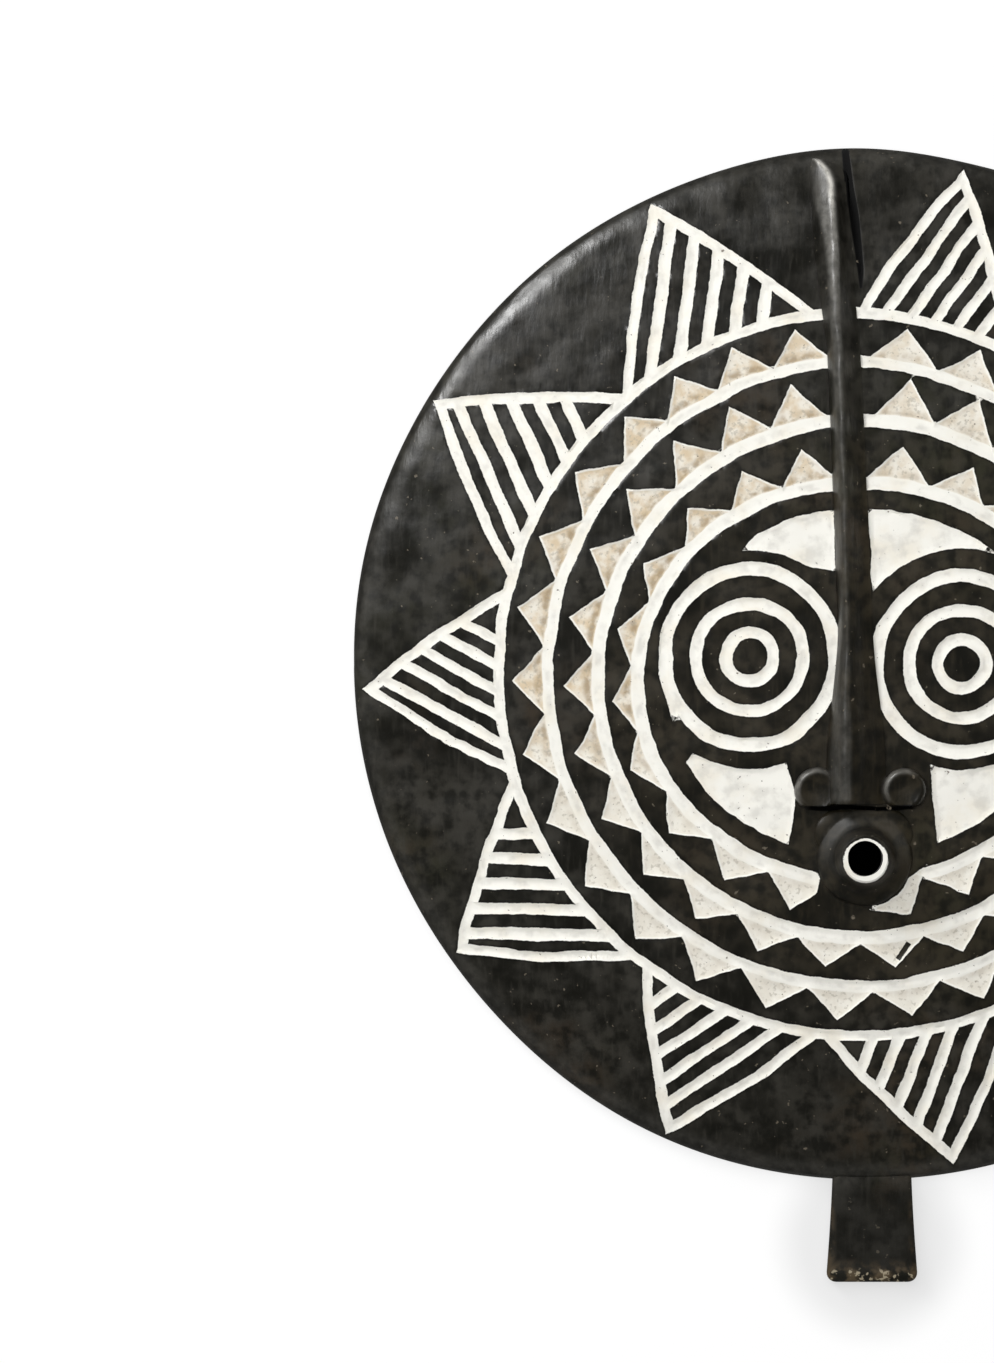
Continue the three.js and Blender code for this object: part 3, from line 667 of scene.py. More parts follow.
def board():
    """The front grid, rings of points that carry its border round the rim, and a flat back."""
    numbers = np.arange((CELLS + 1) ** 2).reshape(CELLS + 1, CELLS + 1)
    border = np.concatenate([numbers[:-1, 0], numbers[-1, :-1], numbers[:0:-1, -1], numbers[0, :0:-1]])
    turn = np.arctan2(front_y[border], front_x[border] / squeeze)
    top = float(dome(0.0, FRONT_RADIUS * uneven(0.0)))
    rows = [(FRONT_RADIUS + out, top + down) for out, down in EDGE_PROFILE]
    rows += [(DISC_HALF_HEIGHT + out, height) for out, height in EDGE_FOOT]
    bumps = uneven(np.degrees(np.arctan2(-front_x[border], front_y[border])))
    wear = RIM_WEAR * np.clip(1 - waves(turn * RIM_STRETCH, turn * 0, *RIM_WEAR_WAVES), *RIM_WEAR_RANGE)
    points = [np.stack([front_x, front_y, front_z], 1)]
    faces = [front_faces]
    before = border
    for number, (radius, height) in enumerate(rows):
        worn = (radius - wear * min(1, number / 2)) * bumps
        ring = np.stack([worn * squeeze * np.cos(turn), worn * np.sin(turn), np.full_like(turn, height)], 1)
        first = sum(len(part) for part in points)
        now = first + np.arange(len(border))
        nxt, nxt_before = np.roll(now, -1), np.roll(before, -1)
        faces += [np.stack([before, now, nxt], 1), np.stack([before, nxt, nxt_before], 1)]
        points.append(ring)
        before = now
    centre = sum(len(part) for part in points)
    points.append(np.zeros((1, 3)))
    faces.append(np.stack([before, np.full_like(before, centre), np.roll(before, -1)], 1))
    return np.vstack(points), np.vstack(faces)


board_points, board_faces = board()
mask = closed_mesh("carved_mask", board_points, board_faces)
print("board triangles:", len(board_faces))

# %% [markdown]
# ## Ridge and nose
#
# A bar runs from the rim down between the eyes and widens into the nose. It was cut from two sides:
# its left flank bulges gently up to the crest, and its right flank falls steeply and runs out in a
# hollow at the foot. A section with these two flanks is carried along a path, and its
# width and height change on the way.

# %% The ridge
RIDGE_TOP_Y, RIDGE_END_Y = 247.0, -67.4
RIDGE_END_X, RIDGE_SWAY = -4.9, 13.4
CREST_END_X, CREST_SWAY = -8.2, 8.0
RIDGE_WIDTH, RIDGE_SPREAD = 15.5, 2.0
TOP_FLARE = 2.6  # how much further left the foot lies near the top
NOSE_WIDTH = 29.0
RIDGE_HEIGHT, NOSE_HEIGHT = 10.0, 16.0
RIDGE_ROOT = 5.0
NOSE_STARTS, TOP_FLARE_ENDS = (0.72, 0.95), (0.1, 0.32)  # shares of the length
TOP_END, TOP_END_HEIGHT = 0.07, 0.45
CREST_BEND, CREST_BEND_LENGTH = 7.0, 0.045  # how far the crest turns left at its very top
END_PIVOT = 0.45  # the place between left foot and crest to which the top end rounds off
RIDGE_ROWS, ROOF_STEPS, ROOT_STEPS = 170, 30, 6
TOP_CROWDED = 1.3  # above 1 the sections lie closer at the top
ROUNDED_SHARE = 0.03  # share of the length over which the top end rounds off
ROUND_STARTS = 0.003  # where on that curve the very top lies
MIDDLE_SWING = (0.25, 70.0, 31)  # size, wave length and seed of the hand-cut unevenness
CREST_SWING = (0.3, 38.0, 33)
HEIGHT_SWING = (0.03, 14.0, 34)
MARKS_ACROSS = 1.5  # how much closer the waves of the height lie across the ridge
LEFT_BULGE = 2.1  # the power by which the left flank falls from the crest
RIGHT_HOLLOW = 1.5  # above 1 the right flank is hollow at its foot
NOSE_HOLLOW = 1.05
CREST_SOFT = 0.09  # how much the crest is rounded, as a share of the height


def roof(x, left, crest, right, hollow):
    """Height of the section as a share of its full height: the lower of the left flank, which falls
    with a power of the distance from the crest, and the right one, with their meeting line rounded."""
    left_flank = 1 - np.maximum((crest - x) / (crest - left), 0) ** LEFT_BULGE
    beyond = (x - crest) / (right - crest)
    right_flank = np.where(beyond > 0, np.maximum(1 - beyond, 0) ** hollow, 1 - hollow * beyond)
    lower = -CREST_SOFT * np.logaddexp(-left_flank / CREST_SOFT, -right_flank / CREST_SOFT)
    return np.maximum(lower + CREST_SOFT * np.log(2), 0)


def swing(x, y, row):
    """Waves of a size, length and seed."""
    size, length, seed = row
    return size * waves(x, y, length, seed)


def ridge_lines(down):
    """Where the left foot, the crest, the middle and the right foot lie at a share of the length."""
    y = RIDGE_TOP_Y + (RIDGE_END_Y - RIDGE_TOP_Y) * down
    middle = RIDGE_END_X - RIDGE_SWAY * (1 - down) ** 2 + swing(y, y * 0, MIDDLE_SWING)
    crest = CREST_END_X - CREST_SWAY * (1 - down) ** 2 + swing(y, y * 0, CREST_SWING)
    crest = crest - CREST_BEND * np.clip(1 - down / CREST_BEND_LENGTH, 0, 1) ** 2
    width = RIDGE_WIDTH + RIDGE_SPREAD * down
    nose = (NOSE_WIDTH - RIDGE_WIDTH - RIDGE_SPREAD) * smooth_rise(down, *NOSE_STARTS)
    half_width = (width + nose) / 2
    flare = TOP_FLARE * (1 - smooth_rise(down, *TOP_FLARE_ENDS))
    return middle - half_width - flare, crest, middle, middle + half_width


def ridge():
    """Rings of a closed section: the roof above the board and a flat root below it."""
    down = np.linspace(0, 1, RIDGE_ROWS)[:, None] ** TOP_CROWDED
    roof_places, root_places = np.linspace(1, -1, ROOF_STEPS), np.linspace(-1, 1, ROOT_STEPS + 2)[1:-1]
    side = np.concatenate([roof_places, root_places])[None, :]
    is_roof = (np.arange(side.size) < ROOF_STEPS)[None, :]
    y = RIDGE_TOP_Y + (RIDGE_END_Y - RIDGE_TOP_Y) * down
    to_nose = smooth_rise(down, *NOSE_STARTS)
    left, crest, middle, right = ridge_lines(down)
    top_end = np.sqrt(1 - (1 - np.clip(down / ROUNDED_SHARE, ROUND_STARTS, 1)) ** 2)
    pivot = left + (crest - left) * END_PIVOT
    left, crest, right = (pivot + (line - pivot) * top_end for line in (left, crest, right))
    x = (left + right) / 2 + side * (right - left) / 2
    height = RIDGE_HEIGHT + (NOSE_HEIGHT - RIDGE_HEIGHT) * to_nose
    height = height * (TOP_END_HEIGHT + (1 - TOP_END_HEIGHT) * smooth_rise(down, 0, TOP_END))
    hollow = RIGHT_HOLLOW + (NOSE_HOLLOW - RIGHT_HOLLOW) * to_nose
    marks = 1 + swing(x * MARKS_ACROSS, y + x * 0, HEIGHT_SWING)
    above = roof(x, left, crest, right, hollow) * height * marks
    base = dome(middle + y * 0, y)
    z = base + np.where(is_roof, above, -RIDGE_ROOT)
    return np.stack([x, y + x * 0, z + x * 0], -1)


def add_parts(*parts):
    """Joins closed skins to the mask, or cuts them out, one after the other."""
    for name, rings, finish_number, operation in parts:
        points, faces = skin(rings)
        tool = closed_mesh(name, points, faces, finish_number)
        change = mask.modifiers.new(name, "BOOLEAN")
        change.operation = operation
        change.solver = "MANIFOLD"
        change.object = tool
        change.material_mode = "INDEX"
        result = bpy.data.meshes.new_from_object(mask.evaluated_get(bpy.context.evaluated_depsgraph_get()))
        mask.modifiers.clear()
        old, mask.data = mask.data, result
        bpy.data.meshes.remove(old)
        bpy.data.objects.remove(tool)
        print(name, "points:", len(result.vertices), "faces:", len(result.polygons))


# %% [markdown]
# ## Nostrils, lip, mouth and handle
#
# Two dished lobes flank the nose and end in a straight crease above the lip. The lip is a low block,
# and out of it stands a blunt cone with a hole right through the mask. The handle is a flat tongue
# below the disc. Each is a few rings of points, and the basin at the back is cut with such a skin too.

# %% The small forms
NOSTRILS = np.array([[-23.9, -60.8], [18.4, -60.6]])
NOSTRIL_RADII = (11.4, 10.8)
NOSTRIL_HEIGHT = 6.0
NOSTRIL_STEPS, DISH_STEPS = 7, 12
NOSTRIL_RIM, NOSTRIL_DISH = 0.75, 0.3  # where the rim stands, and how far the dish sinks, as shares
NOSE_FOOT_Y = -68.4
LIP_TOP_Y = -70.3
LIP = np.array([-1.5, -82.0])
LIP_HALF_WIDTH, LIP_HALF_HEIGHT, LIP_HEIGHT = 24.0, 16.0, 2.8
LIP_FLATNESS, LIP_ROUNDING = 4, 0.6  # powers of the share of its radius, and of the height
LIP_STEPS, LIP_LAST_TURN = 14, 0.04
ROOT = -4.0  # how deep the low forms reach into the board
SMALLEST = 0.03  # share of the radius at which a closed skin ends
MOUTH_PROFILE = np.array(
    [
        (23.5, -6.0),
        (23.3, 0.2),
        (22.5, 1.8),
        (20.2, 3.6),
        (17.2, 5.4),
        (14.9, 8.4),
        (13.6, 15.0),
        (12.5, 24.0),
        (11.7, 29.0),
        (10.8, 30.5),
    ]
)
MOUTH_STEPS, MOUTH_FACETS, MOUTH_WOBBLE = 31, 72, (0.012, 41)  # the wobble has a size and a seed
HOLE_RADIUS = 8.6
HOLE_HEIGHTS = (-6.0, 40.0, 69.0, 90.0)
HOLE_WOBBLE = (0.015, 43)
FACETS = 48
BASIN_RADIUS, BASIN_DEPTH = 172.0, 31.0
BASIN_BELOW, BASIN_END, BASIN_STEPS, BASIN_FACETS = -5.0, 0.02, 26, 96
HANDLE_X = 3.0
HANDLE_TOP, HANDLE_END = -237.5, -300.5
HANDLE_TOP_WIDTH, HANDLE_END_WIDTH, HANDLE_THICKNESS = 38.0, 45.0, 11.0
HANDLE_ROUND = 5.0
HANDLE_EDGE_SHARE = 0.5  # how much of that rounding the thickness takes part in
HANDLE_CORNER = 0.28  # the power that makes its section a rounded rectangle
HANDLE_STEPS, HANDLE_END_STEPS = 24, 7
HANDLE_SPLAY = 1.5  # above 1 its sides curve outwards towards the end
WOBBLE_RADIUS, WOBBLE_LENGTH = 30.0, 40.0  # the circle on which turned bodies read their waves


def turned(profile, facets, centre=(0, 0), wobble=0.0, seed=0):
    """Rings of a turned body: radius and height, swung round a centre, with a slight unevenness."""
    turn = np.linspace(0, 2 * np.pi, facets, endpoint=False)[None, :]
    radius, height = np.asarray(profile, dtype=float).T[:, :, None]
    right, up = np.cos(turn) * WOBBLE_RADIUS + height, np.sin(turn) * WOBBLE_RADIUS + height
    radius = radius * (1 + wobble * waves(right, up, WOBBLE_LENGTH, seed))
    x, y = centre[0] + radius * np.cos(turn), centre[1] + radius * np.sin(turn)
    return np.stack([x, y, height + turn * 0], -1)


def on_board(centre, share, level, half_width, half_height):
    """Rings of a low form that stands on the board, from shares of its radius and levels above it."""
    rings = turned(np.stack([share, level], 1), FACETS)
    rings[..., 0] = centre[0] + rings[..., 0] * half_width
    rings[..., 1] = centre[1] + rings[..., 1] * half_height
    rings[..., 2] += dome(rings[..., 0], rings[..., 1])
    return rings


def lip():
    """A rounded block whose height falls with a power of the share of its radius."""
    share = np.concatenate([[1.0], np.sin(np.linspace(np.pi / 2, LIP_LAST_TURN, LIP_STEPS))])
    level = LIP_HEIGHT * np.maximum(1 - share**LIP_FLATNESS, 0) ** LIP_ROUNDING
    level[0] = ROOT
    rings = on_board(LIP, share, level, LIP_HALF_WIDTH, LIP_HALF_HEIGHT)
    rings[..., 1] = np.minimum(rings[..., 1], LIP_TOP_Y)
    return rings


def nostril(centre, radius):
    """A dish: a quarter round rises to the rim, and a shallow bowl sinks inside it. The side towards
    the lip is cut off straight."""
    outer = NOSTRIL_RIM + (1 - NOSTRIL_RIM) * np.cos(np.linspace(0, np.pi / 2, NOSTRIL_STEPS))
    inner = np.linspace(NOSTRIL_RIM, SMALLEST, DISH_STEPS)[1:]
    share = np.concatenate([[1.0], outer, inner])
    round_part = np.sqrt(1 - ((outer - NOSTRIL_RIM) / (1 - NOSTRIL_RIM)) ** 2)
    bowl = 1 - NOSTRIL_DISH * (1 - (inner / NOSTRIL_RIM) ** 2)
    level = np.concatenate([[ROOT / NOSTRIL_HEIGHT], round_part, bowl]) * NOSTRIL_HEIGHT
    rings = on_board(centre, share, level, radius, radius)
    rings[..., 1] = np.maximum(rings[..., 1], NOSE_FOOT_Y)
    return rings


def handle():
    """Rounded rectangles carried down to the end, where they shrink round the corners."""
    turn = np.linspace(0, 2 * np.pi, FACETS, endpoint=False)[None, :]
    near_end = HANDLE_ROUND * (1 - np.cos(np.linspace(0, np.pi / 2, HANDLE_END_STEPS)))
    straight = np.linspace(HANDLE_TOP - HANDLE_END, HANDLE_ROUND, HANDLE_STEPS)[:-1]
    from_end = np.concatenate([straight, near_end[::-1]])[:, None]
    y = HANDLE_END + from_end
    into_round = np.clip(HANDLE_ROUND - from_end, 0, HANDLE_ROUND)
    inset = HANDLE_ROUND - np.sqrt(HANDLE_ROUND**2 - into_round**2)
    share = (HANDLE_TOP - y) / (HANDLE_TOP - HANDLE_END)
    widening = (HANDLE_END_WIDTH - HANDLE_TOP_WIDTH) * np.clip(share, 0, 1) ** HANDLE_SPLAY
    half_width = (HANDLE_TOP_WIDTH + widening) / 2 - inset
    half_thickness = HANDLE_THICKNESS / 2 - inset * HANDLE_EDGE_SHARE
    side, up = np.cos(turn), np.sin(turn)
    x = HANDLE_X + half_width * np.sign(side) * np.abs(side) ** HANDLE_CORNER
    z = HANDLE_THICKNESS / 2 + half_thickness * np.sign(up) * np.abs(up) ** HANDLE_CORNER
    return np.stack([x, y + x * 0, z], -1)


def spread(profile, steps):
    """More points along a profile, evenly by number."""
    places, numbers = np.linspace(0, len(profile) - 1, steps), np.arange(len(profile))
    return np.stack([np.interp(places, numbers, column) for column in profile.T], 1)


cone = turned(spread(MOUTH_PROFILE, MOUTH_STEPS), MOUTH_FACETS, MOUTH, *MOUTH_WOBBLE)
cone[..., 2] += dome(cone[..., 0], cone[..., 1])
basin_profile = [(BASIN_RADIUS, BASIN_BELOW)]
for share in np.linspace(1, BASIN_END, BASIN_STEPS):
    basin_profile.append((BASIN_RADIUS * share, BASIN_DEPTH * (1 - share**DOME_POWER)))
hole_profile = [(HOLE_RADIUS, height) for height in HOLE_HEIGHTS]
hole = turned(hole_profile, FACETS, MOUTH, *HOLE_WOBBLE)
add_parts(
    ("handle", handle(), RAISED, "UNION"),
    ("ridge", ridge(), RAISED, "UNION"),
    ("left_nostril", nostril(NOSTRILS[0], NOSTRIL_RADII[0]), RAISED, "UNION"),
    ("right_nostril", nostril(NOSTRILS[1], NOSTRIL_RADII[1]), RAISED, "UNION"),
    ("lip", lip(), RAISED, "UNION"),
    ("mouth_cone", cone, MOUTH_CONE, "UNION"),
    ("basin", turned(basin_profile, BASIN_FACETS), BACK, "DIFFERENCE"),
    ("mouth_hole", hole, RAISED, "DIFFERENCE"),
)

# %% [markdown]
# ## Painted parts
#
# The white is paint in the sunk places, so its edge follows the cuts. Each point of the finished mesh
# gets the distances into each kind of cut. The finish combines them itself, because a corner where
# two cuts meet would be rounded if only their joined distance were stored point by point.

# %% Numbers for the finish
HIGHLIGHT_ROWS = np.array(  # height, how strong the painted highlight on the ridge's left flank is, from which share of it, and on its crest
    [
        (-70.0, 0.07, 0.0, 0.02),
        (-20.0, 0.05, 0.0, 0.03),
        (60.0, 0.04, 0.0, 0.05),
        (150.0, 0.08, 0.2, 0.10),
        (185.0, 0.17, 0.4, 0.15),
        (208.0, 0.26, 0.35, 0.20),
        (222.0, 0.20, 0.1, 0.40),
        (229.0, 0.10, 0.0, 0.90),
        (250.0, 0.06, 0.0, 1.00),
    ]
)
CREST_LINE = 1.6  # half width of the painted highlight's brightest line along the crest
FLANK_FADE, CREST_FADE = 0.3, (-1.2, 0.2)  # share of the flank, and millimetres right of the crest
RAISED_FROM = 0.5  # what stands higher above the dome than this is no board
# faint painted highlight just inside the rim
RIM_HIGHLIGHT, RIM_HIGHLIGHT_FROM, RIM_HIGHLIGHT_WIDTH = 0.03, 5.0, 3.0
# painted highlight along the nostrils' rims on the side that faces the light
NOSTRIL_HIGHLIGHT, NOSTRIL_LINE = 0.28, 1.2
TOWARDS_LIGHT = (-0.7, 0.7)
# painted highlight on the upper side of the round shoulder about the mouth
BOSS_HIGHLIGHT = 0.035
BOSS_STARTS, BOSS_ENDS = (14.5, 17.5), (-23.0, -21.0)  # radii, the second pair taken below zero
BOSS_UPPER_HALF = (-8.0, 8.0)


def painted_highlight(x, y, raised):
    """How strong the painted highlight is, from 0 to 1: over the ridge's left flank and most along its
    crest, along the upper left rims of the nostrils where they face the light, on the upper side round
    the mouth, and faintly inside the rim of the mask."""
    down = (y - RIDGE_TOP_Y) / (RIDGE_END_Y - RIDGE_TOP_Y)
    left, crest, _, _ = ridge_lines(np.clip(down, 0, 1))
    # wear here is the strength of the flank's painted highlight
    wear, highlight_from, crest_highlight = (np.interp(y, HIGHLIGHT_ROWS[:, 0], column) for column in HIGHLIGHT_ROWS[:, 1:].T)
    across = (x - left) / (crest - left)
    flank = smooth_rise(across - highlight_from, 0.0, FLANK_FADE) * smooth_rise(crest - x, *CREST_FADE)
    line = np.exp(-(((x - crest + CREST_LINE) / CREST_LINE) ** 2))
    on_ridge = np.maximum(wear * flank, crest_highlight * line)
    total = np.where((raised > RAISED_FROM) & (down > 0) & (down < 1), on_ridge, 0)
    for centre, radius in zip(NOSTRILS, NOSTRIL_RADII):
        right, up = x - centre[0], y - centre[1]
        away = np.hypot(right, up)
        facing = (right * TOWARDS_LIGHT[0] + up * TOWARDS_LIGHT[1]) / np.maximum(away, 1)
        arc = np.exp(-(((away - radius * (1 + NOSTRIL_RIM) / 2) / NOSTRIL_LINE) ** 2))
        on_rim = NOSTRIL_HIGHLIGHT * arc * np.clip(facing, 0, 1)
        total = np.maximum(total, np.where(raised > RAISED_FROM, on_rim, 0))
    from_mouth = np.hypot(x - MOUTH[0], y - MOUTH[1])
    boss = smooth_rise(from_mouth, *BOSS_STARTS) * smooth_rise(-from_mouth, *BOSS_ENDS)
    total = np.maximum(total, BOSS_HIGHLIGHT * boss * smooth_rise(y - MOUTH[1], *BOSS_UPPER_HALF))
    inwards = DISC_HALF_HEIGHT - from_middle(x, y)
    return np.maximum(total, RIM_HIGHLIGHT * np.exp(-(((inwards - RIM_HIGHLIGHT_FROM) / RIM_HIGHLIGHT_WIDTH) ** 2)))


RIM_PAINT = (7.9, 11.0)  # radii of the painted ring on the mouth
RIM_PAINT_SHIFT = (0.1, -0.9)  # its outer circle lies a little off the hole's middle
RIM_PAINT_HEIGHT = 26.5
ABOVE_BOARD = 1.0
DISTANCES_INSIDE = ("band", "ray_a", "ray_b", "side_a", "side_b")

points = np.empty(len(mask.data.vertices) * 3, dtype=np.float32)
mask.data.vertices.foreach_get("co", points)
points = points.reshape(-1, 3).astype(float) / MILLIMETRE - (0, DISC_CENTRE_Y, 0)
x, y, z = points.T.copy()
cuts = cut_distances(x, y)
raised = z - dome(x, y)
from_mouth = np.hypot(x - MOUTH[0], y - MOUTH[1])
on_rim = np.minimum(from_mouth - RIM_PAINT[0], in_circle(x, y, MOUTH + RIM_PAINT_SHIFT, RIM_PAINT[1]))
on_rim = np.minimum(on_rim, raised - RIM_PAINT_HEIGHT)
on_mouth = (from_mouth < MOUTH_BORDER) & (raised > ABOVE_BOARD)
within = np.where(on_mouth, FAR, PAINT_EDGE - from_middle(x, y))
within = np.where(z < RIM_THICKNESS / 2, -FAR, within)
for name in cuts:
    cuts[name] = np.where(on_mouth, on_rim if name == "band" else -FAR, cuts[name])
    if name in DISTANCES_INSIDE:
        cuts[name] = np.minimum(cuts[name], within)
knife = np.where(raised > ABOVE_BOARD, -FAR, in_knife_line(x, y))
# the painted highlight is stored with the distances, as a number of its own
layers = {**cuts, "painted_highlight": painted_highlight(x, y, raised), "knife": knife}
for name, values in layers.items():
    layer = mask.data.attributes.new(name, "FLOAT", "POINT")
    layer.data.foreach_set("value", values.astype(np.float32))
print("share of points in paint:", round(float((inside_any(cuts) > 0).mean()), 3))

# %% [markdown]
# ## Finishes
#
# The wood is brown-black with a soft sheen, and a painted highlight makes it paler along the ridge's
# left flank and crest, the nostrils' upper left rims, above the mouth and faintly inside the rim. The
# white is chalky, yellowed in the chips and greyer down the middle of a groove. Both are one material,
# mixed by the stored numbers, so that the border between them can be as fine as noise makes it. Most of
# the colour changes are patches of noise, each kind with its own row in one table.


# %% Node helpers
def start_finish(material):
    """The node tree of a material and its surface shader."""
    material.use_nodes = True
    tree = material.node_tree
    return tree, tree.nodes["Principled BSDF"]


def add_node(tree, kind, inputs=(), **settings):
    """A node with its settings and inputs: a value, or the output of another node."""
    made = tree.nodes.new(kind)
    for name, value in settings.items():
        setattr(made, name, value)
    for name, value in dict(inputs).items():
        if isinstance(value, bpy.types.NodeSocket):
            tree.links.new(value, made.inputs[name])
        else:
            made.inputs[name].default_value = value
    return made


def math(tree, operation, first, second=0.0):
    """A sum, product, larger value or the like of two numbers."""
    return add_node(tree, "ShaderNodeMath", {0: first, 1: second}, operation=operation).outputs[0]


def object_place(tree):
    """The point's place in the mask's own coordinates, in metres."""
    return add_node(tree, "ShaderNodeTexCoord").outputs["Object"]


def coordinate(tree, axis):
    """One coordinate of that place, by the letter of its axis."""
    return add_node(tree, "ShaderNodeSeparateXYZ", {0: object_place(tree)}).outputs[axis]


def distance_from(tree, origin=(0, 0, 0)):
    """The distance of the point from a place, in metres."""
    inputs = {0: object_place(tree), 1: origin}
    return add_node(tree, "ShaderNodeVectorMath", inputs, operation="DISTANCE").outputs["Value"]


def noise(tree, scale, detail, stretch=(1, 1, 1)):
    """Noise on the mask's own coordinates, with its grain stretched along an axis."""
    inputs = {"Vector": object_place(tree), "Scale": stretch}
    place = add_node(tree, "ShaderNodeMapping", inputs).outputs[0]
    inputs = {"Vector": place, "Scale": scale, "Detail": detail}
    return add_node(tree, "ShaderNodeTexNoise", inputs).outputs["Fac"]


def ramp(tree, value, low, high, to_low=0.0, to_high=1.0):
    """A smooth s-curve from one number, where the value is low, to another, where it is high."""
    inputs = {"Value": value, "From Min": low, "From Max": high, "To Min": to_low, "To Max": to_high}
    return add_node(tree, "ShaderNodeMapRange", inputs, interpolation_type="SMOOTHSTEP").outputs[0]


def blend(tree, share, first, second):
    """A colour between two, by a share of the second."""
    made = add_node(tree, "ShaderNodeMix", {}, data_type="RGBA")
    for name, value in (("Factor", share), ("A", first), ("B", second)):
        socket = [s for s in made.inputs if s.name == name and s.type in ("RGBA", "VALUE") and s.enabled][0]
        if isinstance(value, bpy.types.NodeSocket):
            tree.links.new(value, socket)
        else:
            socket.default_value = (*value, 1) if isinstance(value, tuple) else value
    return [s for s in made.outputs if s.type == "RGBA"][0]


def attribute(tree, name):
    """One of the numbers stored at the mesh's points."""
    return add_node(tree, "ShaderNodeAttribute", attribute_name=name).outputs["Fac"]


def between(tree, value, low, high):
    """A number, held between two limits."""
    return math(tree, "MINIMUM", math(tree, "MAXIMUM", value, low), high)


def product(tree, *factors):
    """All the factors multiplied."""
    total = factors[0]
    for factor in factors[1:]:
        total = math(tree, "MULTIPLY", total, factor)
    return total


PATCHES = {  # noise scale and detail, the values between which it rises, least and greatest share
    "crease sag": (60, 3, 0.20, 0.80, -0.0009, 0.0009),
    "highlight breakup": (240, 5, 0.30, 0.65, 0.60, 1.15),
    "flecks": (330, 2, 0.71, 0.76, 0.0, 0.7),
    "fleck edge": (700, 2, 0.35, 0.60, 0.0, 1.0),
    "handle wear": (150, 5, 0.42, 0.62, 0.0, 1.0),
    "handle chips": (420, 3, 0.58, 0.63, 0.0, 1.0),
    "cream": (55, 4, 0.45, 0.75, 0.0, 1.0),
    "grey middles": (130, 6, 0.45, 0.70, 0.0, 0.45),
    "mottles": (170, 6, 0.32, 0.66, 0.45, 1.0),
    "settled dirt": (190, 5, 0.36, 0.62, 0.1, 1.0),
    "stipples": (480, 3, 0.54, 0.66, 0.0, 0.5),
    "lost paint": (520, 3, 0.70, 0.74, 0.0, 0.8),
}


def patches(tree, kind):
    """Soft-edged patches of one kind: a noise, raised to a smooth s-curve."""
    scale, detail, low, high, least, most = PATCHES[kind]
    return ramp(tree, noise(tree, scale, detail), low, high, least, most)


# %% [markdown]
# ### The wood
#
# Slow noise moves the colour between black, brown and traces of olive and rust, and a fine noise
# stretched along the board stands for its grain. The sheen wanders with a noise of its own. Close to
# the paint the wood is darker, a painted shade along the edge of each cut.

# %% Wood colour
BLACK = (0.0048, 0.0045, 0.0027)
BROWN = (0.032, 0.0295, 0.0235)
WARM = (0.031, 0.0250, 0.0150)
WARM_WITHIN = (0.165, 0.120)  # metres from the middle
OLIVE = (0.024, 0.0240, 0.0120)
RUST = (0.038, 0.0275, 0.0175)
FLECK = (0.16, 0.135, 0.10)
PALE_FLECKS = [(11.2, -69.4, 1.2), (23.4, -86.5, 1.0), (-6.6, -122.5, 1.3)]  # place and radius
# pale colour of the painted highlight
HIGHLIGHT_PALE = (0.62, 0.60, 0.55)
UNLIT = (0.0, 0.0, 0.0)
SLOW_NOISE, SLOW_RANGE = (22, 4), (0.36, 0.74)  # scale and detail, and values from black to brown
WOOD_LAYERS = [  # noise scale, detail and stretch, the values between which it rises, share, colour
    (9, 3, (1, 1, 1), 0.50, 0.72, 0.8, OLIVE),
    (17, 5, (1, 1, 1), 0.52, 0.72, 0.8, RUST),
    (60, 7, (1, 1, 1), 0.38, 0.72, 0.9, None),  # no colour stands for the brown of the place
    (150, 6, (1, 1, 1), 0.38, 0.68, 0.9, BLACK),
    (420, 4, (1, 0.12, 1), 0.50, 0.80, 0.6, None),
]
KNIFE_FADE = (-0.6, 0.3)  # distances inside the knife line between which the light is lost
CREASE_Y = (NOSE_FOOT_Y + LIP_TOP_Y) / 2 + DISC_CENTRE_Y
CREASE_HALF = 1.5
CREASE_X, CREASE_REACH, CREASE_FADE = -2.5, 28.0, 4.0  # middle, half length, and the fading part of it
WOOD_GLOSS = 0.30
WOOD_ROUGH, BACK_ROUGH, MOUTH_ROUGH = (0.28, 0.44), (0.50, 0.75), (0.50, 0.65)
ROUGH_NOISE, ROUGH_RANGE = (60, 3), (0.3, 0.7)
RIDGE_PALENESS, BACK_PALENESS = 0.04, 0.10
GRAIN_NOISE, DENT_NOISE, DENT_SHARE = (380, 4, (1, 0.15, 1)), (90, 3), 1.4
BUMP_HEIGHT = 0.0006  # metres
WOOD_BUMP, PAINT_BUMP = 0.35, 0.30


def crease_shade(tree):
    """The black line between nose and lip, from its distance in height, which noise makes uneven."""
    height = math(tree, "ADD", coordinate(tree, "Y"), patches(tree, "crease sag"))
    off = math(tree, "ABSOLUTE", math(tree, "SUBTRACT", height, CREASE_Y * MILLIMETRE))
    along = math(tree, "ABSOLUTE", math(tree, "SUBTRACT", coordinate(tree, "X"), CREASE_X * MILLIMETRE))
    in_line = ramp(tree, off, CREASE_HALF * MILLIMETRE, CREASE_HALF * MILLIMETRE / 2)
    full_until = (CREASE_REACH - CREASE_FADE) * MILLIMETRE
    return product(tree, in_line, ramp(tree, along, CREASE_REACH * MILLIMETRE, full_until))


def unlit(tree):
    """Where no light gets in: the knife line and the crease under the nose."""
    return math(tree, "MAXIMUM", ramp(tree, attribute(tree, "knife"), *KNIFE_FADE), crease_shade(tree))


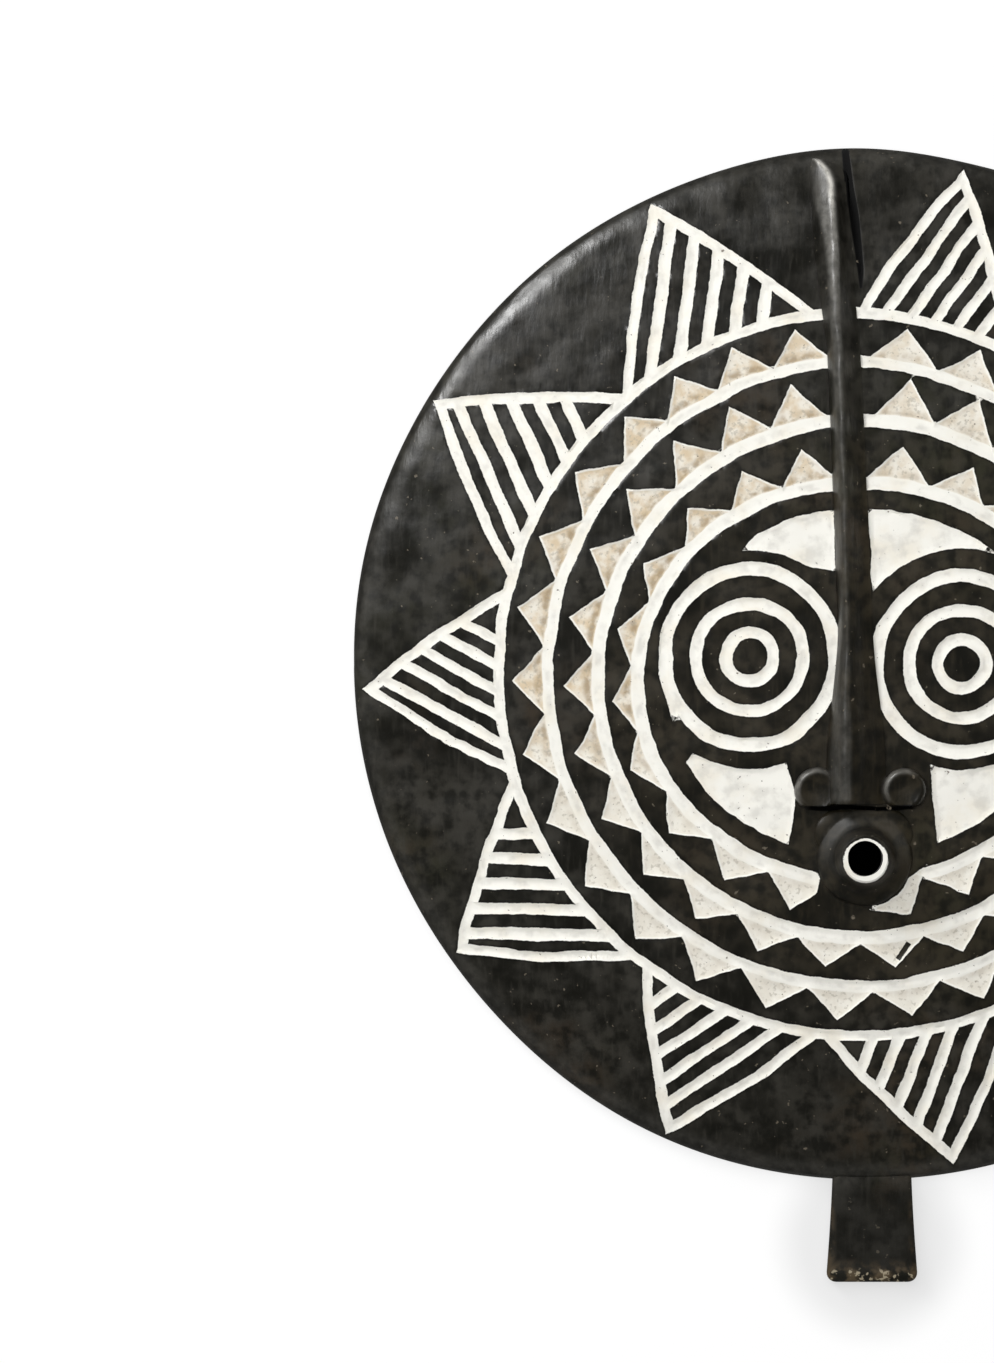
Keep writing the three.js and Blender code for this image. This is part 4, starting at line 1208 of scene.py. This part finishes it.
def wood_colour(tree, paleness=0.0):
    """Layers of noise over each other, from black to brown, then a pale painted highlight where the
    stored number asks for it, and painted black shade in the knife line and the crease. The brown is
    warmer near the middle of the mask."""
    brown = blend(tree, ramp(tree, distance_from(tree), *WARM_WITHIN), BROWN, WARM)
    low, high = SLOW_RANGE
    slow = ramp(tree, noise(tree, *SLOW_NOISE), low - paleness, high - paleness)
    colour = blend(tree, slow, BLACK, brown)
    for scale, detail, stretch, low, high, most, tone in WOOD_LAYERS:
        share = ramp(tree, noise(tree, scale, detail, stretch), low, high, 0.0, most)
        colour = blend(tree, share, colour, tone or brown)
    # painted highlight: the wood turns pale where light would catch the ridge, nostrils, mouth and rim
    highlight_share = product(tree, attribute(tree, "painted_highlight"), patches(tree, "highlight breakup"))
    colour = blend(tree, highlight_share, colour, HIGHLIGHT_PALE)
    return blend(tree, unlit(tree), colour, UNLIT)


HANDLE_WEAR = (-0.2640, -0.2730)  # heights in metres where it starts and is strongest
HANDLE_SIDES, HANDLE_SIDE_WEAR = (0.0165, 0.0215), 0.7  # distances from its middle line, likewise
HANDLE_BLACK_FROM, HANDLE_SIDES_FROM = (-0.226, -0.234), (-0.232, -0.240)  # heights likewise
HANDLE_BLACKENED = 0.55  # share of black over its wood
HANDLE_CHIPS_FROM = (0.6, 1.0)  # shares of the wear
WORN = (0.085, 0.062, 0.036)
CHIPPED = (0.34, 0.29, 0.20)


def handle_wear(tree, colour):
    """Bare brown wood along the handle's end and sides, broken up by noise, and paler chips right at
    the end."""
    height = coordinate(tree, "Y")
    dark = product(tree, ramp(tree, height, *HANDLE_BLACK_FROM), HANDLE_BLACKENED)
    colour = blend(tree, dark, colour, BLACK)
    low = ramp(tree, height, *HANDLE_WEAR)
    off = math(tree, "ABSOLUTE", math(tree, "SUBTRACT", coordinate(tree, "X"), HANDLE_X * MILLIMETRE))
    on_handle = ramp(tree, height, *HANDLE_SIDES_FROM)
    side = product(tree, ramp(tree, off, *HANDLE_SIDES), on_handle, HANDLE_SIDE_WEAR)
    brown = product(tree, math(tree, "MAXIMUM", low, side), patches(tree, "handle wear"))
    chips = product(tree, ramp(tree, low, *HANDLE_CHIPS_FROM), patches(tree, "handle chips"))
    return blend(tree, chips, blend(tree, brown, colour, WORN), CHIPPED)


def flecks(tree):
    """Scattered pale specks from noise, and the few larger ones that lie at known places."""
    total = patches(tree, "flecks")
    for x, y, radius in PALE_FLECKS:
        across = math(tree, "SUBTRACT", coordinate(tree, "X"), x * MILLIMETRE)
        up = math(tree, "SUBTRACT", coordinate(tree, "Y"), (y + DISC_CENTRE_Y) * MILLIMETRE)
        squared = math(tree, "ADD", product(tree, across, across), product(tree, up, up))
        away = math(tree, "SQRT", squared)
        spot = ramp(tree, away, radius * MILLIMETRE, radius * MILLIMETRE / 2)
        total = math(tree, "MAXIMUM", total, product(tree, spot, patches(tree, "fleck edge")))
    return total


def wood_bump(tree, strength):
    """The grain and, on a larger scale, the dents of the surface."""
    dents = math(tree, "MULTIPLY", noise(tree, *DENT_NOISE), DENT_SHARE)
    height = math(tree, "ADD", noise(tree, *GRAIN_NOISE), dents)
    inputs = {"Strength": strength, "Distance": BUMP_HEIGHT, "Height": height}
    return add_node(tree, "ShaderNodeBump", inputs).outputs[0]


def uneven_sheen(tree, rough):
    """A roughness that wanders between two numbers."""
    return ramp(tree, noise(tree, *ROUGH_NOISE), *ROUGH_RANGE, *rough)


def wood(material, paleness=0.0, rough=WOOD_ROUGH):
    """The finish of the raised parts and the back: wood, flecks and the worn handle."""
    tree, surface = start_finish(material)
    colour = blend(tree, flecks(tree), wood_colour(tree, paleness), FLECK)
    colour = handle_wear(tree, colour)
    tree.links.new(colour, surface.inputs["Base Color"])
    tree.links.new(uneven_sheen(tree, rough), surface.inputs["Roughness"])
    tree.links.new(wood_bump(tree, WOOD_BUMP), surface.inputs["Normal"])
    surface.inputs["Specular IOR Level"].default_value = WOOD_GLOSS


# %% [markdown]
# ### The painted board
#
# The groove number is worked out from the stored ones just as for the carving. With a fine noise
# added, it decides between wood and paint within a few tenths of a millimetre. Bands stay white. A
# chip is white along its sides, creamy inside, and brown in the crease beside its band, where dirt has
# settled.

# %% Board finish
WHITE = (0.91, 0.895, 0.83)
CREAM = (0.86, 0.82, 0.72)
FRESH_CHIP = (0.78, 0.74, 0.65)
AGED_CHIP = (0.67, 0.55, 0.385)
DIRT = (0.34, 0.25, 0.15)
GREY = (0.55, 0.53, 0.48)
AGED_UP = (-0.06, 0.02)  # heights in metres between which the chips turn from fresh to aged
AGED_ACROSS = (0.03, -0.06, 0.4, 1.0)  # metres across, and how far the ageing goes there
SPECK = (0.10, 0.07, 0.045)
SLIVER = ((20.6, -135.0), (15.2, -143.0), 1.25)  # ends and half width of bare wood in one tooth
STIPPLE = (0.40, 0.36, 0.29)
PAINT_ROUGH = 0.95
EDGE_GRAIN, EDGE_NOISE = (520, 3), 0.7  # noise scale and detail, and how many millimetres it moves an edge
PAINT_FADE = (-0.10, 0.12)  # distances inside a cut between which paint begins
SHADE_REACH, EDGE_SHADE = (-1.6, -0.1), 0.45  # distances, and how much of its colour the wood keeps in the painted shade next to the paint
EDGE_BLACK = (0.001, 0.001, 0.001)
GREY_MIDDLE_DEPTH = (0.6, 2.2)  # distances inside a groove
PAST_GROOVE, CHIP_INSET = (0.2, -0.4), (0.5, 1.3)  # distances where a chip's own colour begins
CREASE_RISE, CREASE_FALL = (0.0, 1.2), (5.5, 2.0)  # distances outwards from the band
DIRT_INSET, STIPPLE_INSET = (0.9, 2.8), (1.0, 2.4)
DIRT_BY_AGE = (0.0, 1.0, 0.15, 0.80)  # least and greatest age, and the shares of dirt there


def groove_number(tree):
    """The nodes for in_groove: band, ray edge or stripe, whichever the point lies deepest in."""
    wedge = math(tree, "MINIMUM", attribute(tree, "ray_a"), attribute(tree, "ray_b"))
    edge = math(tree, "MINIMUM", wedge, math(tree, "SUBTRACT", RAY_EDGE_WIDTH, wedge))
    place = between(tree, attribute(tree, "stripe"), -0.5, STRIPES - 0.5)
    nearest = between(tree, math(tree, "ROUND", place), 0.0, STRIPES - 1.0)
    off = math(tree, "ABSOLUTE", math(tree, "SUBTRACT", place, nearest))
    across = math(tree, "MULTIPLY", math(tree, "SUBTRACT", STRIPE_SHARE, off), MEAN_PITCH)
    line = math(tree, "MAXIMUM", edge, math(tree, "MINIMUM", wedge, across))
    past_ring = math(tree, "ADD", attribute(tree, "past_ring"), RAY_OVERLAP)
    return math(tree, "MAXIMUM", attribute(tree, "band"), math(tree, "MINIMUM", line, past_ring))


def near_line(tree, start, end, half_width):
    """How far inside a short straight stroke a point lies, in millimetres. The place along it and
    across it are sums of the coordinates, weighted by its direction."""
    along = np.subtract(end, start)
    length = float(np.hypot(*along))
    across, lengthwise = [], []
    for axis, middle, part, other in zip("XY", np.add(start, end) / 2, along / length, (-along[1], along[0])):
        middle = float(middle) + (DISC_CENTRE_Y if axis == "Y" else 0.0)
        off = math(tree, "SUBTRACT", math(tree, "DIVIDE", coordinate(tree, axis), MILLIMETRE), middle)
        across.append(math(tree, "MULTIPLY", off, float(other / length)))
        lengthwise.append(math(tree, "MULTIPLY", off, float(part)))
    side = math(tree, "ABSOLUTE", math(tree, "ADD", *across))
    end_gap = math(tree, "ABSOLUTE", math(tree, "ADD", *lengthwise))
    inside = math(tree, "SUBTRACT", half_width, side)
    return math(tree, "MINIMUM", inside, math(tree, "SUBTRACT", length / 2, end_gap))


def paint_colour(tree, groove, tooth):
    """White in the grooves, greyer in their middle, and in a chip creamier with age, dirty along
    its crease and stippled."""
    outwards, mottled = attribute(tree, "outwards"), patches(tree, "mottles")
    white = blend(tree, patches(tree, "cream"), WHITE, CREAM)
    greyed_middle = product(tree, patches(tree, "grey middles"), ramp(tree, groove, *GREY_MIDDLE_DEPTH))
    white = blend(tree, greyed_middle, white, GREY)
    aged = ramp(tree, coordinate(tree, "Y"), *AGED_UP)
    aged = product(tree, aged, ramp(tree, coordinate(tree, "X"), *AGED_ACROSS))
    in_chip = product(tree, ramp(tree, groove, *PAST_GROOVE), ramp(tree, tooth, *CHIP_INSET))
    chip = blend(tree, product(tree, aged, mottled), FRESH_CHIP, AGED_CHIP)
    white = blend(tree, product(tree, in_chip, mottled), white, chip)
    crease = product(tree, ramp(tree, outwards, *CREASE_RISE), ramp(tree, outwards, *CREASE_FALL))
    settled = product(tree, patches(tree, "settled dirt"), ramp(tree, aged, *DIRT_BY_AGE))
    dirty = product(tree, crease, ramp(tree, tooth, *DIRT_INSET), settled, in_chip)
    white = blend(tree, dirty, white, DIRT)
    stippled = product(tree, patches(tree, "stipples"), ramp(tree, tooth, *STIPPLE_INSET), in_chip)
    white = blend(tree, stippled, white, STIPPLE)
    return blend(tree, patches(tree, "lost paint"), white, SPECK)


def painted_wood(material, wood_rough=WOOD_ROUGH):
    """The finish of the carved front: paint inside the cuts, with a ragged edge, and wood outside."""
    tree, surface = start_finish(material)
    tooth = math(tree, "MINIMUM", attribute(tree, "side_a"), attribute(tree, "side_b"))
    groove = groove_number(tree)
    inside = math(tree, "MAXIMUM", groove, tooth)
    inside = math(tree, "MINIMUM", inside, math(tree, "MULTIPLY", near_line(tree, *SLIVER), -1.0))
    ragged = math(tree, "MULTIPLY", math(tree, "SUBTRACT", noise(tree, *EDGE_GRAIN), 0.5), EDGE_NOISE)
    paint = ramp(tree, math(tree, "ADD", inside, ragged), *PAINT_FADE)
    wood_here = blend(tree, flecks(tree), wood_colour(tree), FLECK)
    # painted shade: next to the paint the wood darkens towards black
    shade = ramp(tree, inside, *SHADE_REACH, 1.0, EDGE_SHADE)
    dark = blend(tree, shade, EDGE_BLACK, wood_here)
    white = paint_colour(tree, groove, tooth)
    tree.links.new(blend(tree, paint, dark, white), surface.inputs["Base Color"])
    dull = math(tree, "MAXIMUM", paint, unlit(tree))
    rough = uneven_sheen(tree, wood_rough)
    rough = add_node(tree, "ShaderNodeMix", {0: dull, 2: rough, 3: PAINT_ROUGH}).outputs[0]
    tree.links.new(rough, surface.inputs["Roughness"])
    tree.links.new(wood_bump(tree, PAINT_BUMP), surface.inputs["Normal"])
    surface.inputs["Specular IOR Level"].default_value = WOOD_GLOSS


painted_wood(FINISHES[BOARD])
painted_wood(FINISHES[MOUTH_CONE], MOUTH_ROUGH)
wood(FINISHES[RAISED], RIDGE_PALENESS)
wood(FINISHES[BACK], BACK_PALENESS, BACK_ROUGH)
print("finishes on the mask:", [material.name for material in mask.data.materials])

# %% [markdown]
# ## Shading
#
# The faces are shaded smooth, but an edge that turns by more than some forty degrees stays sharp, so
# the cuts keep their crisp corners. Then the piece stands for the solid of the frame and rides on it.

# %% Shading and riding
SHARP = np.radians(42)
mask.data.polygons.foreach_set("use_smooth", np.ones(len(mask.data.polygons), dtype=bool))
mask.data.set_sharp_from_angle(angle=SHARP)
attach(mask, "root")
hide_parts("mask")
triangles = sum(len(face.vertices) - 2 for face in mask.data.polygons)
print("triangles of the mask:", triangles)

# %% [markdown]
# ## Floor and light
#
# The mask lies on a white sheet under soft lamps above it and to the upper left. The wood shines only
# along its upper left rim and the top of the ridge, so the shine comes from a lower lamp of its own.
# The sheet glows, so that it stays white round the mask and the shadow under the rim is faint. Under
# the mask it turns black, so that the mouth looks into the dark. Round the handle's end it glows less,
# a painted shadow of the handle.

# %% Floor and lamps
FLOOR_HALF = 4.0
FLOOR_DROP = 0.0004
GLOW = 0.81
SHEET = (0.2, 0.2, 0.2)
SHEET_ROUGH = 0.9
SHEET_FADE = (0.13, 0.22)  # metres from the origin between which the sheet turns from black to white
# middle of the painted shadow beside the handle's end
HANDLE_SHADOW_PLACE = (0.003, -0.258, 0.0)
HANDLE_SHADOW_FADE = (0.03, 0.055)  # metres from that place
HANDLE_SHADOW_GLOW = 0.80  # how much the sheet glows in the painted shadow round the handle's end
LAMPS = [  # name, place, size, power, and whether it lights the colour and the sheen
    ("key_lamp", (-1.5, 1.5, 1.9), 0.9, 26, True, False),
    ("sheen_lamp", (-1.75, 1.75, 1.45), 0.7, 105, False, True),
    ("fill_lamp", (-0.3, 0.4, 2.5), 2.0, 47, True, False),
]
WORLD_LIGHT = 0.16


def floor_sheet():
    """A wide square just under the mask, with a glow of its own that is dimmed round the handle's end as a
    painted shadow.
    """
    mesh = bpy.data.meshes.new("floor")
    ends = (-FLOOR_HALF, FLOOR_HALF)
    mesh.from_pydata([(x, y, -FLOOR_DROP) for y in ends for x in ends], [], [(0, 1, 3, 2)])
    sheet = bpy.data.objects.new("floor", mesh)
    bpy.context.scene.collection.objects.link(sheet)
    material = bpy.data.materials.new("white_sheet")
    tree, surface = start_finish(material)
    surface.inputs["Roughness"].default_value = SHEET_ROUGH
    surface.inputs["Emission Color"].default_value = (1, 1, 1, 1)
    past_mask = ramp(tree, distance_from(tree), *SHEET_FADE)
    tree.links.new(blend(tree, past_mask, (0, 0, 0), SHEET), surface.inputs["Base Color"])
    painted_handle_shadow = ramp(tree, distance_from(tree, HANDLE_SHADOW_PLACE), *HANDLE_SHADOW_FADE, HANDLE_SHADOW_GLOW, 1)
    tree.links.new(product(tree, past_mask, GLOW, painted_handle_shadow), surface.inputs["Emission Strength"])
    mesh.materials.append(material)
    sheet.visible_glossy = False


def lamp(name, place, size, power, lights_colour, lights_sheen):
    """A square soft lamp that faces the mask. It can be left out of the dull or the shiny part of
    the light that a surface returns."""
    data = bpy.data.lights.new(name, "AREA")
    data.size = size
    data.energy = power
    light = bpy.data.objects.new(name, data)
    light.location = place
    aim = -np.array(place)
    light.rotation_euler = (
        np.arctan2(np.hypot(aim[0], aim[1]), -aim[2]),
        0,
        np.arctan2(aim[1], aim[0]) - np.pi / 2,
    )
    light.visible_diffuse = lights_colour
    light.visible_glossy = lights_sheen
    light.visible_camera = False
    bpy.context.scene.collection.objects.link(light)


floor_sheet()
for row in LAMPS:
    lamp(*row)
world = bpy.data.worlds.new("studio")
world.use_nodes = True
background = world.node_tree.nodes["Background"]
background.inputs["Color"].default_value = (1, 1, 1, 1)
background.inputs["Strength"].default_value = WORLD_LIGHT
bpy.context.scene.world = world
bpy.context.scene.view_settings.view_transform = "Standard"
